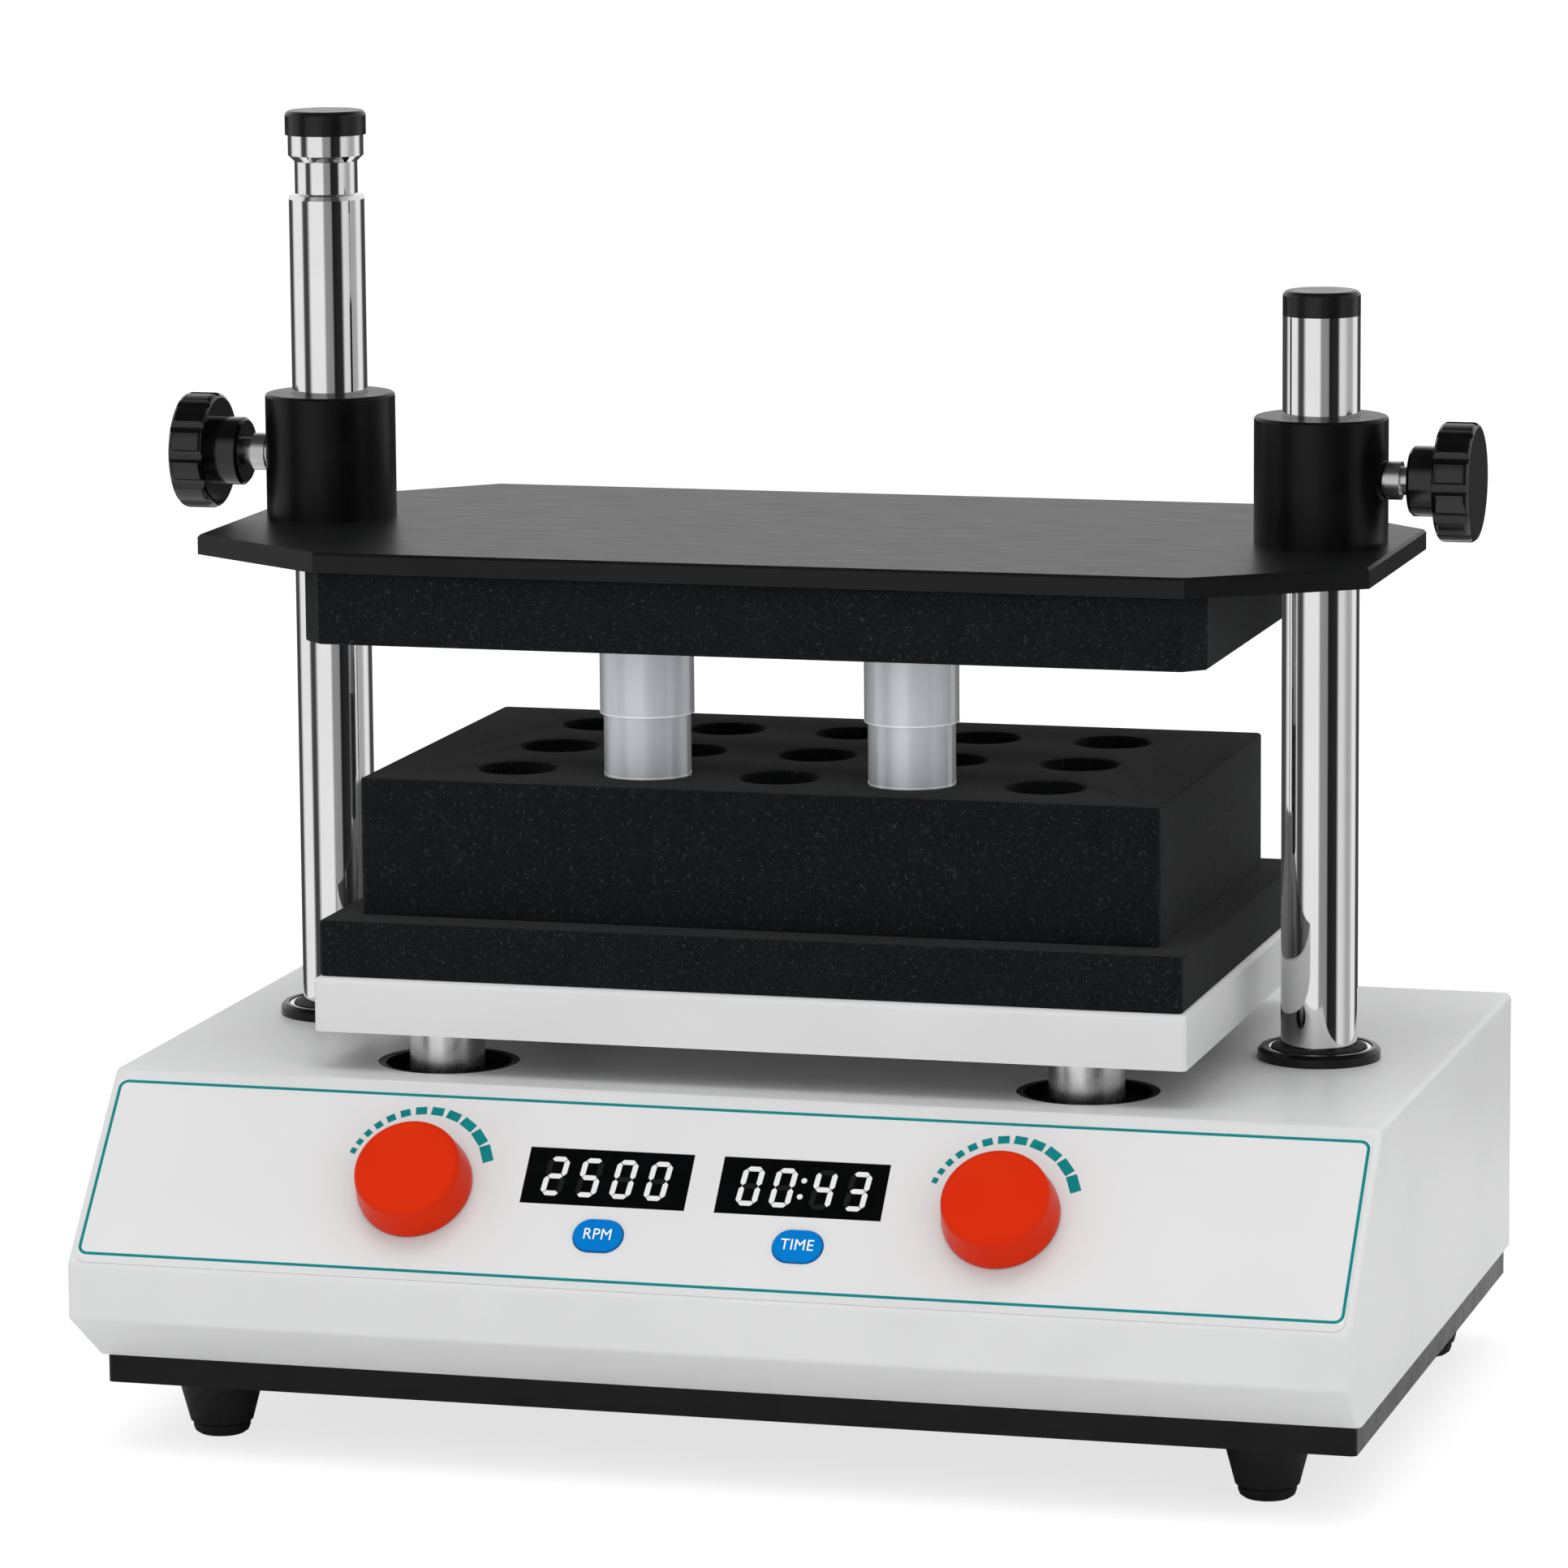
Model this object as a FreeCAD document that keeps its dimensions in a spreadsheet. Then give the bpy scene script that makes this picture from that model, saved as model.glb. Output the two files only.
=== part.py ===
import FreeCAD, Part
import math
import os
import re
import Sketcher

# Multi-tube vortex mixer. Millimetres, +Z up, front towards -Y.
# The origin is on the floor below the middle of the case.

# Driving sizes. Each one is a cell of the sheet, and its name is the cell's alias.
SIZES = {
    # feet and base plate
    "foot_height": 22.2,
    "foot_radius": 14,
    "foot_band": 3.5,
    "foot_tip_radius": 9.3,
    "foot_tip_round": 1.9,
    "foot_lip_height": 4.4,
    "foot_lip_step": 0.9,
    "foot_notch": 0.5,
    "front_foot_x": 173.5,
    "front_foot_y": 92.5,
    "rear_foot_x": 186,
    "rear_foot_y": 105,
    "base_thickness": 9,
    "base_inset_left": 7.7,
    "base_inset_right": 1.2,
    "base_inset_rear": 2,
    "base_corner": 2,
    # case
    "case_width": 418,
    "case_depth": 276,
    "case_top": 118.5,
    "case_wall": 2,
    "case_edge": 2.2,
    "strip_top": 64,
    "strip_bottom": 46,
    "bevel_setback": 15,
    "slope_run": 49,
    "tuck_width": 5,
    "flange_width": 14,
    "rear_lip_width": 8,
    "seam_gap": 0.15,
    # control panel, measured on the slope from its lower edge
    "film_thickness": 0.3,
    "film_side": 2.4,
    "film_bottom": 1,
    "film_top": 1.2,
    "film_corner": 3.5,
    "display_width": 54,
    "display_height": 20.2,
    "display_up": 41.2,
    "speed_display_x": -36,
    "time_display_x": 28,
    "display_gap": 0.15,
    "display_recess": 0.1,
    "key_width": 16.2,
    "key_height": 11.4,
    "key_up": 20.3,
    "speed_key_x": -35,
    "time_key_x": 30.2,
    "key_stand": 1.1,
    "key_gap": 0.3,
    "key_flange": 1.4,
    "key_flange_thickness": 1,
    "key_travel": 1,
    "knob_radius": 18.8,
    "knob_top_radius": 17,
    "knob_height": 12.5,
    "knob_edge": 2.2,
    "knob_lift": 0.5,
    "knob_up": 34.8,
    "speed_knob_x": -98.5,
    "time_knob_x": 93.5,
    "stem_radius": 3,
    "stem_length": 9,
    "stem_gap": 0.05,
    "stem_hole_gap": 1.5,
    "board_drop": 13,
    "board_width": 232,
    "board_height": 52,
    "board_up": 33.5,
    "board_thickness": 1.6,
    "pot_width": 17,
    "pot_height": 15,
    "pot_thickness": 9,
    "switch_side": 6,
    "switch_top": 3.5,
    "standoff_radius": 3,
    "standoff_screw_radius": 1.5,
    # clamp columns
    "column_x": 167.5,
    "column_radius": 12.5,
    "left_column_top": 413.7,
    "right_column_top": 360.4,
    "neck_radius": 10.4,
    "neck_low": 394.4,
    "neck_high": 404.9,
    "neck_bevel": 2,
    "cap_height": 8,
    "left_cap_overhang": 0.9,
    "cap_edge": 1.9,
    "cap_spigot_radius": 6,
    "cap_spigot_length": 9,
    "ring_radius": 20,
    "ring_height": 4,
    "ring_bead_radius": 17.4,
    "seal_width": 3,
    "seal_stand": 0.6,
    "column_gap": 0.05,
    "column_bolt_radius": 5,
    "column_bolt_length": 22,
    "column_bolt_head_radius": 8,
    "column_bolt_head": 6,
    # drive, on an axis through the columns' plane
    "drive_y": 16,
    "crank_throw": 2,
    "chassis_width": 232,
    "chassis_depth": 162,
    "chassis_thickness": 8,
    "chassis_top": 86,
    "pillar_x": 100,
    "pillar_y": 66,
    "pillar_radius": 8,
    "motor_radius": 38,
    "motor_height": 44,
    "motor_boss_radius": 13,
    "motor_boss_height": 3,
    "motor_screw_x": 20,
    "motor_shaft_radius": 5,
    "motor_shaft_depth": 32,
    "hub_radius": 15,
    "hub_lift": 2,
    "hub_cap": 2.5,
    "crank_pin_radius": 6,
    "weight_radius": 36,
    "weight_thickness": 8,
    "weight_rise": 7.5,
    "idler_radius": 62,
    "idler_disc_radius": 9,
    "idler_pin_radius": 4,
    "idler_shoulder_radius": 5.5,
    "bearing_play": 0.04,
    "axial_play": 0.1,
    "seat_gap": 0.02,
    "small_bearing_radius": 11,
    "small_bearing_width": 7,
    "small_ledge_radius": 8,
    "large_bearing_radius": 14,
    "large_bearing_width": 8,
    "large_ledge_radius": 10,
    # carriage, centred on the crank pin
    "carriage_bottom": 103,
    "carriage_thickness": 9,
    "carriage_width": 250,
    "carriage_margin": 20,
    "post_radius": 12.25,
    "post_x": 106.8,
    "post_margin": 36,
    "post_hole_radius": 23.1,
    "rim_radius": 25.5,
    "rim_inner_radius": 20.6,
    "rim_drop": 0.4,
    "rim_depth": 3.6,
    "platform_width": 288.4,
    "platform_margin": 24.1,
    "platform_height": 17.8,
    "platform_top": 149.2,
    "platform_wall": 2,
    "platform_edge": 2,
    "sheet_foam_width": 285.4,
    "sheet_foam_inset": 1.9,
    "sheet_foam_thickness": 18.3,
    "rack_width": 265,
    "rack_depth": 156,
    "rack_height": 44.8,
    "rack_pitch_x": 44.2,
    "rack_pitch_y": 47,
    "rack_hole_radius": 12.7,
    "tube_radius": 14.15,
    "tube_height": 89.4,
    "tube_wall": 1.2,
    "tube_gap": 0.2,
    "tube_cap_radius": 15.3,
    "tube_cap_height": 24.5,
    "tube_cap_wall": 1.3,
    "tube_fit": 0.05,
    # clamp, at rest on the tubes
    "clamp_clearance": 0.2,
    "top_foam_width": 297,
    "top_foam_depth": 180,
    "top_foam_thickness": 23.4,
    "top_foam_corner": 6.7,
    "plate_thickness": 6.6,
    "plate_width": 389,
    "plate_front_width": 286,
    "plate_back_width": 276,
    "plate_front_reach": 92,
    "plate_back_reach": 92,
    "plate_front_side": 57,
    "plate_back_side": 39,
    "plate_edge": 0.9,
    "collar_radius": 21.6,
    "collar_height": 41,
    "collar_edge": 1.2,
    "collar_bore_gap": 0.1,
    "collar_screw_y": 17.5,
    "clamp_rise": 20.6,
    "clamp_screw_radius": 5.5,
    "clamp_screw_gap": 0.08,
    "clamp_groove_radius": 4.6,
    "clamp_flange_radius": 6.2,
    "tip_gap": 0.2,
    "tip_length": 3,
    "tip_radius": 4.5,
    "clamp_neck_length": 7.9,
    "clamp_hub_radius": 11.3,
    "clamp_hub_length": 9.5,
    "clamp_head_radius": 19.2,
    "clamp_head_length": 12,
    "clamp_head_edge": 2,
    "lobe_groove_radius": 2.6,
    "lobe_groove_place": 20.6,
    "lobes": 12,
    # shared screws
    "frame_screw_radius": 3,
    "frame_screw_length": 16,
    "frame_screw_head_radius": 5,
    "frame_screw_head": 6,
    "foot_screw_recess": 13,
    "case_screw_radius": 2,
    "case_screw_length": 10,
    "case_screw_head_radius": 3.8,
    "case_screw_head": 2.2,
    "screw_gap": 0.2,
    "thread_gap": 0.05,
    "case_screw_y": 70,
    # rear panel and power parts
    "rear_screw_rise": 20,
    "slot_count": 10,
    "slot_pitch": 7,
    "slot_width": 3,
    "slot_length": 30,
    "slots_x": 10,
    "power_z": 74,
    "inlet_x": 120,
    "inlet_width": 27.2,
    "inlet_height": 19.8,
    "inlet_depth": 22,
    "inlet_flange": 2.2,
    "flange_thickness": 1.5,
    "socket_width": 24.4,
    "socket_height": 16.6,
    "socket_depth": 15,
    "blade_width": 2,
    "blade_height": 4,
    "blade_pitch": 14,
    "ground_rise": 4,
    "blade_drop": 1.5,
    "switch_x": 164,
    "switch_width": 21,
    "switch_height": 27,
    "switch_depth": 16,
    "rocker_width": 15,
    "rocker_height": 20,
    "rocker_tilt": 10,
    "rocker_pivot_depth": 3,
    "rocker_stand": 0.6,
    "rocker_gap": 0.2,
    "rocker_pin_radius": 1.5,
    "rocker_pin_reach": 2,
    "supply_side_gap": 2.85,
    "supply_rear_gap": 18,
    "supply_width": 64,
    "supply_depth": 84,
    "supply_board": 1.6,
    "transformer_width": 28,
    "transformer_depth": 30,
    "transformer_height": 24,
    "capacitor_radius": 9,
    "capacitor_height": 30,
    "small_capacitor_radius": 6,
    "small_capacitor_height": 18,
    "heat_sink_width": 44,
    "heat_sink_depth": 5,
    "heat_sink_height": 32,
}

# Places worked out from the driving sizes, written once and used by many pieces.
PLACES = {
    "base_top": "foot_height + base_thickness",
    "case_left": "-case_width/2",
    "case_right": "case_width/2",
    "case_front": "-case_depth/2",
    "case_rear": "case_depth/2",
    "slope_rise": "case_top - strip_top",
    "slope_length": "sqrt(slope_run^2 + slope_rise^2)",
    "slope_angle": "atan2(slope_rise; slope_run)",
    "bevel_drop": "strip_bottom - base_top",
    "bevel_length": "sqrt(bevel_setback^2 + bevel_drop^2)",
    "inside_top": "case_top - case_wall",
    "rear_inside": "case_rear - case_wall",
    "carriage_y": "drive_y - crank_throw",
    "post_y": "drive_y - (case_front + slope_run + post_margin)",
    "carriage_depth": "2*(post_y + carriage_margin)",
    "platform_depth": "2*(post_y + platform_margin)",
    "sheet_foam_depth": "platform_depth - 2*sheet_foam_inset",
    "carriage_top": "carriage_bottom + carriage_thickness",
    "platform_inside": "platform_top - platform_wall",
    "rack_bottom": "platform_top + sheet_foam_thickness",
    "rack_top": "rack_bottom + rack_height",
    "tube_row_y": "carriage_y - rack_pitch_y",
    "tube_top": "rack_bottom + tube_height",
    "foam_bottom": "tube_top + clamp_clearance",
    "plate_bottom": "foam_bottom + top_foam_thickness",
    "plate_top": "plate_bottom + plate_thickness",
    "clamp_z": "plate_top + clamp_rise",
    "chassis_bottom": "chassis_top - chassis_thickness",
    "hub_bottom": "chassis_top + hub_lift",
    "seal_radius": "column_radius + seal_width",
    "ring_bore": "seal_radius + column_gap",
    "tip_face": "column_radius + tip_gap",
    "tip_back": "tip_face + tip_length",
    "hub_face": "collar_radius + clamp_neck_length",
    "head_face": "hub_face + clamp_hub_length",
    "head_end": "head_face + clamp_head_length",
    "film_left": "case_left + film_side",
    "film_right": "case_right - film_side",
    "film_upper": "slope_length - film_top",
    "standoff_length": "board_drop - case_wall",
    "supply_bottom": "base_top + standoff_length",
    "supply_x": "tuck_inside + flange_width + supply_side_gap - standoff_radius + supply_width/2",
    "supply_y": "rear_inside - supply_rear_gap - supply_depth/2",
    "tip_pin": "tip_radius/2",
    "rocker_half": "rocker_height/2 - rocker_gap",
    "rocker_face": "rocker_pivot_depth + rocker_stand",
    "rear_x": "case_right - case_wall - seam_gap",
    "rear_bottom": "base_top + case_wall + seam_gap",
    "rear_top": "inside_top - seam_gap",
    "rear_screw_x": "rear_x - rear_lip_width/2",
    "bevel_top": "strip_bottom + case_wall*(bevel_length - bevel_drop)/bevel_setback",
    "bevel_low": "case_front + bevel_setback + case_wall*bevel_length/bevel_drop",
    "tuck_inside": "case_left + case_wall + tuck_width",
    "lip_left": "tuck_inside + flange_width + seam_gap",
    "lip_right": "case_right - case_wall - flange_width - seam_gap",
    "case_screw_x": "case_right - case_wall - flange_width/2",
    "case_screw_left_x": "-case_right + case_wall + tuck_width + flange_width/2",
}

# The rack's rows and columns, counted from its middle, and the two holes that hold tubes.
RACK_COLUMNS = (-2, -1, 0, 1, 2)
RACK_ROWS = (-1, 0, 1)
TUBE_COLUMNS = (-1, 1)
CORNERS = ((-1, -1), (1, -1), (-1, 1), (1, 1))
SIDES = {"left": -1, "right": 1}
IDLER_ANGLES = {"rear": 90, "left": 210, "right": 330}

doc = FreeCAD.newDocument("vortex_mixer")
sheet = doc.addObject("Spreadsheet::Sheet", "Sizes")
for row, (name, value) in enumerate(SIZES.items(), start=1):
    sheet.set(f"A{row}", str(value))
    sheet.setAlias(f"A{row}", name)
doc.recompute()

nodes = []


# Formulas and binding

def formula(text):
    """The text with each place spelled out and each size pointed at its cell."""
    def swap(match):
        word = match.group()
        if word in PLACES:
            return f"({formula(PLACES[word])})"
        if word in SIZES:
            return f"Sizes.{word}"
        return word
    return re.sub(r"[a-z][a-z_]*", swap, str(text))


def bind(thing, **sizes):
    """Binds properties of an object to formulas; a double underscore stands for a dot."""
    for prop, text in sizes.items():
        thing.setExpression(prop.replace("__", "."), formula(text))


def put(thing, x="0", y="0", z="0"):
    """Binds where an object stands."""
    bind(thing, Placement__Base__x=x, Placement__Base__y=y, Placement__Base__z=z)


def turn(thing, axis, angle):
    """Turns an object about its own origin by a formula's angle."""
    thing.Placement = FreeCAD.Placement(thing.Placement.Base, FreeCAD.Rotation(FreeCAD.Vector(*axis), 1))
    bind(thing, Placement__Rotation__Angle=angle)


def on_panel(thing, x, up):
    """Stands an object on the sloped panel: its own Y runs up the slope and its Z points out."""
    turn(thing, (1, 0, 0), "slope_angle")
    put(thing, x, f"case_front + ({up})*cos(slope_angle)", f"strip_top + ({up})*sin(slope_angle)")


def node(thing, name):
    """Names a finished sub-part and lists it for export."""
    thing.Label = name
    nodes.append(thing)
    return thing


# Sketches and features

def make_body(name):
    return doc.addObject("PartDesign::Body", f"{name}_body")


def make_sketch(body, role="XY_Plane", lift="0"):
    """An empty sketch on one of the body's own planes, moved along that plane's normal."""
    sketch = body.newObject("Sketcher::SketchObject", "outline")
    plane = next(item for item in body.Origin.OriginFeatures if item.Role == role)
    sketch.AttachmentSupport = (plane, [""])
    sketch.MapMode = "FlatFace"
    bind(sketch, AttachmentOffset__Base__z=lift)
    return sketch


def slope_sketch(body):
    """A sketch on the outer face of the case's slope, from the middle of its lower edge."""
    sketch = make_sketch(body, "XY_Plane", "strip_top")
    tilt = FreeCAD.Rotation(FreeCAD.Vector(1, 0, 0), 1)
    sketch.AttachmentOffset = FreeCAD.Placement(FreeCAD.Vector(), tilt)
    bind(sketch, AttachmentOffset__Base__y="case_front", AttachmentOffset__Base__z="strip_top",
         AttachmentOffset__Rotation__Angle="slope_angle")
    return sketch


def fix(sketch, kind, *places, text, drawn):
    """Adds one dimension to a sketch at the value it is drawn with, and binds it to a formula."""
    index = sketch.addConstraint(Sketcher.Constraint(kind, *places, drawn))
    sketch.setExpression(f"Constraints[{index}]", formula(text))


def polygon(sketch, points):
    """A closed outline whose corners are pairs of formulas."""
    count = len(points)
    start = sketch.GeometryCount
    spots = [FreeCAD.Vector(10 * math.cos(2 * math.pi * i / count), 10 * math.sin(2 * math.pi * i / count), 0)
             for i in range(count)]
    for i in range(count):
        sketch.addGeometry(Part.LineSegment(spots[i], spots[(i + 1) % count]), False)
    for i in range(count):
        sketch.addConstraint(Sketcher.Constraint("Coincident", start + i, 2, start + (i + 1) % count, 1))
    for i, (x, y) in enumerate(points):
        fix(sketch, "DistanceX", -1, 1, start + i, 1, text=x, drawn=spots[i].x)
        fix(sketch, "DistanceY", -1, 1, start + i, 1, text=y, drawn=spots[i].y)


def rectangle(sketch, x, y, width, height):
    """A rectangle about a centre."""
    left, right = f"{x} - ({width})/2", f"{x} + ({width})/2"
    low, high = f"{y} - ({height})/2", f"{y} + ({height})/2"
    polygon(sketch, [(left, low), (right, low), (right, high), (left, high)])


def circle(sketch, x, y, radius):
    index = sketch.addGeometry(Part.Circle(FreeCAD.Vector(1, 1, 0), FreeCAD.Vector(0, 0, 1), 1), False)
    fix(sketch, "DistanceX", -1, 1, index, 3, text=x, drawn=1)
    fix(sketch, "DistanceY", -1, 1, index, 3, text=y, drawn=1)
    fix(sketch, "Radius", index, text=radius, drawn=1)


def pad(body, sketch, length, both_ways=False, backwards=False):
    feature = body.newObject("PartDesign::Pad", "pad")
    feature.Profile = sketch
    feature.Midplane = both_ways
    feature.Reversed = backwards
    bind(feature, Length=length)
    return feature


def pocket(body, sketch, depth, both_ways=False, backwards=False):
    """Cuts a sketch out of the body, against the sketch's normal unless backwards, and tests that it cut."""
    doc.recompute()
    before = body.Tip.Shape.Volume
    feature = body.newObject("PartDesign::Pocket", "pocket")
    feature.Profile = sketch
    feature.Midplane = both_ways
    feature.Reversed = backwards
    bind(feature, Length=depth)
    doc.recompute()
    if feature.Shape.isNull() or feature.Shape.Volume >= before:
        raise RuntimeError(f"a pocket of {body.Name} cuts nothing")
    return feature


def turned(name, outline):
    """A body revolved about its own Z axis from corners given as radius and height."""
    body = make_body(name)
    sketch = make_sketch(body, "XZ_Plane")
    polygon(sketch, outline)
    feature = body.newObject("PartDesign::Revolution", "turning")
    feature.Profile = sketch
    feature.ReferenceAxis = (sketch, ["V_Axis"])
    feature.Angle = 360
    return body


def slab(name, width, depth, height, x="0", y="0", z="0"):
    """A rectangular plate padded up from z about a centre."""
    body = make_body(name)
    sketch = make_sketch(body, "XY_Plane", z)
    rectangle(sketch, x, y, width, depth)
    pad(body, sketch, height)
    return body


def soften(body, radius, chosen, kind="Fillet"):
    """Rounds or bevels the edges of the body's last feature that a test chooses."""
    doc.recompute()
    base = body.Tip
    names = [f"Edge{i}" for i, edge in enumerate(base.Shape.Edges, start=1) if chosen(edge)]
    feature = body.newObject(f"PartDesign::{kind}", "edge")
    feature.Base = (base, names)
    bind(feature, **{"Radius" if kind == "Fillet" else "Size": radius})
    doc.recompute()
    return feature


def runs_along(edge, axis):
    """Whether a straight edge runs along an axis."""
    if not isinstance(edge.Curve, Part.Line):
        return False
    return abs(edge.Curve.Direction.dot(FreeCAD.Vector(*axis))) > 0.999


# Primitives and groups

def cylinder(name, radius, height, x="0", y="0", z="0"):
    item = doc.addObject("Part::Cylinder", name)
    bind(item, Radius=radius, Height=height)
    put(item, x, y, z)
    return item


def block(name, width, depth, height, x="0", y="0", z="0"):
    """A box about a centre in X and Y, standing on z."""
    item = doc.addObject("Part::Box", name)
    bind(item, Length=width, Width=depth, Height=height)
    put(item, f"{x} - ({width})/2", f"{y} - ({depth})/2", z)
    return item


def fused(name, items):
    item = doc.addObject("Part::MultiFuse", name)
    item.Shapes = items
    item.Refine = True
    return item


def cut(name, base, tools):
    """The base with the tools taken away."""
    tool = tools[0] if len(tools) == 1 else fused(f"{name}_tools", tools)
    item = doc.addObject("Part::Cut", name)
    item.Base = base
    item.Tool = tool
    return item


def group(name, items):
    """Like pieces kept as separate solids of one node."""
    item = doc.addObject("Part::Compound", f"{name}_group")
    item.Links = items
    return node(item, name)


def screw(name, radius, length, head_radius, head, x, y, z, points="up"):
    """A screw whose head rests at z, with its shank pointing up, down or to the front."""
    item = fused(name, [
        cylinder(f"{name}_head", head_radius, head, z=f"-({head})"),
        cylinder(f"{name}_shank", radius, length),
    ])
    if points == "down":
        item.Placement = FreeCAD.Placement(FreeCAD.Vector(), FreeCAD.Rotation(FreeCAD.Vector(1, 0, 0), 180))
    if points == "front":
        item.Placement = FreeCAD.Placement(FreeCAD.Vector(), FreeCAD.Rotation(FreeCAD.Vector(1, 0, 0), 90))
    put(item, x, y, z)
    return item


def frame_screw(name, x, y, z, points="up"):
    return screw(name, "frame_screw_radius", "frame_screw_length", "frame_screw_head_radius",
                 "frame_screw_head", x, y, z, points)


def case_screw(name, x, y, z, points="up"):
    return screw(name, "case_screw_radius", "case_screw_length", "case_screw_head_radius",
                 "case_screw_head", x, y, z, points)


# Places that several pieces share

FEET = {f"{end}_{side}": (f"{sign}*{end}_foot_x", f"{depth_sign}*{end}_foot_y")
        for side, sign in SIDES.items() for end, depth_sign in (("front", -1), ("rear", 1))}
PILLARS = [(f"{i}*pillar_x", f"drive_y + {j}*pillar_y") for i, j in CORNERS]
MOTOR_SCREWS = [(f"{i}*motor_screw_x", f"drive_y + {j}*motor_screw_x") for i, j in CORNERS]
POSTS = [(f"{i}*post_x", f"carriage_y + {j}*post_y") for i, j in CORNERS]
POST_HOLES = [(f"{i}*post_x", f"drive_y + {j}*post_y") for i, j in CORNERS]
CASE_SCREWS = [(x, f"{j}*case_screw_y") for x in ("case_screw_left_x", "case_screw_x") for j in (-1, 1)]
COLUMNS = [(f"{sign}*column_x", "drive_y") for sign in SIDES.values()]
IDLERS = {name: (f"idler_radius*cos({angle})", f"idler_radius*sin({angle})")
          for name, angle in IDLER_ANGLES.items()}
BOARD_CORNERS = [(f"{i}*(board_width/2 - 2*standoff_radius)",
                  f"board_up + {j}*(board_height/2 - 2*standoff_radius)") for i, j in CORNERS]
SUPPLY_CORNERS = [(f"supply_x + {i}*(supply_width/2 - 2*standoff_radius)",
                   f"supply_y + {j}*(supply_depth/2 - 2*standoff_radius)") for i, j in CORNERS]


# Feet and base plate

def rubber_feet():
    feet = []
    for place, (x, y) in FEET.items():
        foot = turned(f"foot_{place}", [
            ("frame_screw_head_radius + screw_gap*3", "0"),
            ("foot_tip_radius - foot_tip_round", "0"),
            ("foot_tip_radius - foot_tip_round*0.3", "foot_tip_round*0.5"),
            ("foot_tip_radius", "foot_tip_round*1.3"),
            ("foot_tip_radius", "foot_lip_height - foot_notch*2"),
            ("foot_tip_radius - foot_notch", "foot_lip_height - foot_notch"),
            ("foot_tip_radius - foot_notch", "foot_lip_height"),
            ("foot_tip_radius + foot_lip_step", "foot_lip_height"),
            ("foot_radius", "foot_height - foot_band"),
            ("foot_radius", "foot_height"),
            ("frame_screw_radius + screw_gap", "foot_height"),
            ("frame_screw_radius + screw_gap", "foot_screw_recess"),
            ("frame_screw_head_radius + screw_gap*3", "foot_screw_recess"),
        ])
        put(foot, x, y)
        feet.append(foot)
    return group("rubber_feet", feet)


def base_plate():
    body = make_body("base_plate")
    outline = make_sketch(body, "XY_Plane", "foot_height")
    left, right = "case_left + base_inset_left", "case_right - base_inset_right"
    front, rear = "case_front + bevel_setback", "case_rear - base_inset_rear"
    polygon(outline, [(left, front), (right, front), (right, rear), (left, rear)])
    pad(body, outline, "base_thickness")
    soften(body, "base_corner", lambda edge: runs_along(edge, (0, 0, 1)))
    threads = make_sketch(body, "XY_Plane", "base_top")
    for x, y in FEET.values():
        circle(threads, x, y, "frame_screw_radius + thread_gap")
    for x, y in PILLARS:
        circle(threads, x, y, "frame_screw_radius + screw_gap")
    for x, y in COLUMNS:
        circle(threads, x, y, "column_bolt_radius + screw_gap")
    for x, y in CASE_SCREWS:
        circle(threads, x, y, "case_screw_radius + screw_gap")
    pocket(body, threads, "base_thickness*2")
    sinks = make_sketch(body, "XY_Plane", "foot_height")
    for x, y in PILLARS:
        circle(sinks, x, y, "frame_screw_head_radius + screw_gap")
    for x, y in COLUMNS:
        circle(sinks, x, y, "column_bolt_head_radius + screw_gap")
    pocket(body, sinks, "frame_screw_head + screw_gap", backwards=True)
    shallow = make_sketch(body, "XY_Plane", "foot_height")
    for x, y in CASE_SCREWS:
        circle(shallow, x, y, "case_screw_head_radius + screw_gap")
    pocket(body, shallow, "case_screw_head + screw_gap", backwards=True)
    return node(body, "base_plate")


def frame_screws():
    """The like screws of the feet, the pillars and the motor."""
    items = []
    for i, (x, y) in enumerate(FEET.values()):
        items.append(frame_screw(f"foot_screw_{i}", x, y, "foot_screw_recess"))
    for i, (x, y) in enumerate(PILLARS):
        items.append(frame_screw(f"pillar_low_screw_{i}", x, y, "foot_height + frame_screw_head + screw_gap"))
        items.append(frame_screw(f"pillar_top_screw_{i}", x, y, "chassis_top", "down"))
    for i, (x, y) in enumerate(MOTOR_SCREWS):
        items.append(frame_screw(f"motor_screw_{i}", x, y, "chassis_top", "down"))
    return group("frame_screws", items)


# Case

def inner_profile(sketch, low, bottom_reach):
    """The hollow's side outline, one wall inside the case, down to a given height."""
    front = "case_front + case_wall"
    slope_low = "strip_top - case_wall*(slope_length - slope_rise)/slope_run"
    slope_high = ("case_front + case_wall*slope_rise/slope_length + (slope_rise - case_wall"
                  " + case_wall*slope_run/slope_length)*slope_run/slope_rise")
    corners = [("case_rear + case_wall", low), *bottom_reach, (front, slope_low),
               (slope_high, "inside_top"), ("case_rear + case_wall", "inside_top")]
    polygon(sketch, corners)


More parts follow.
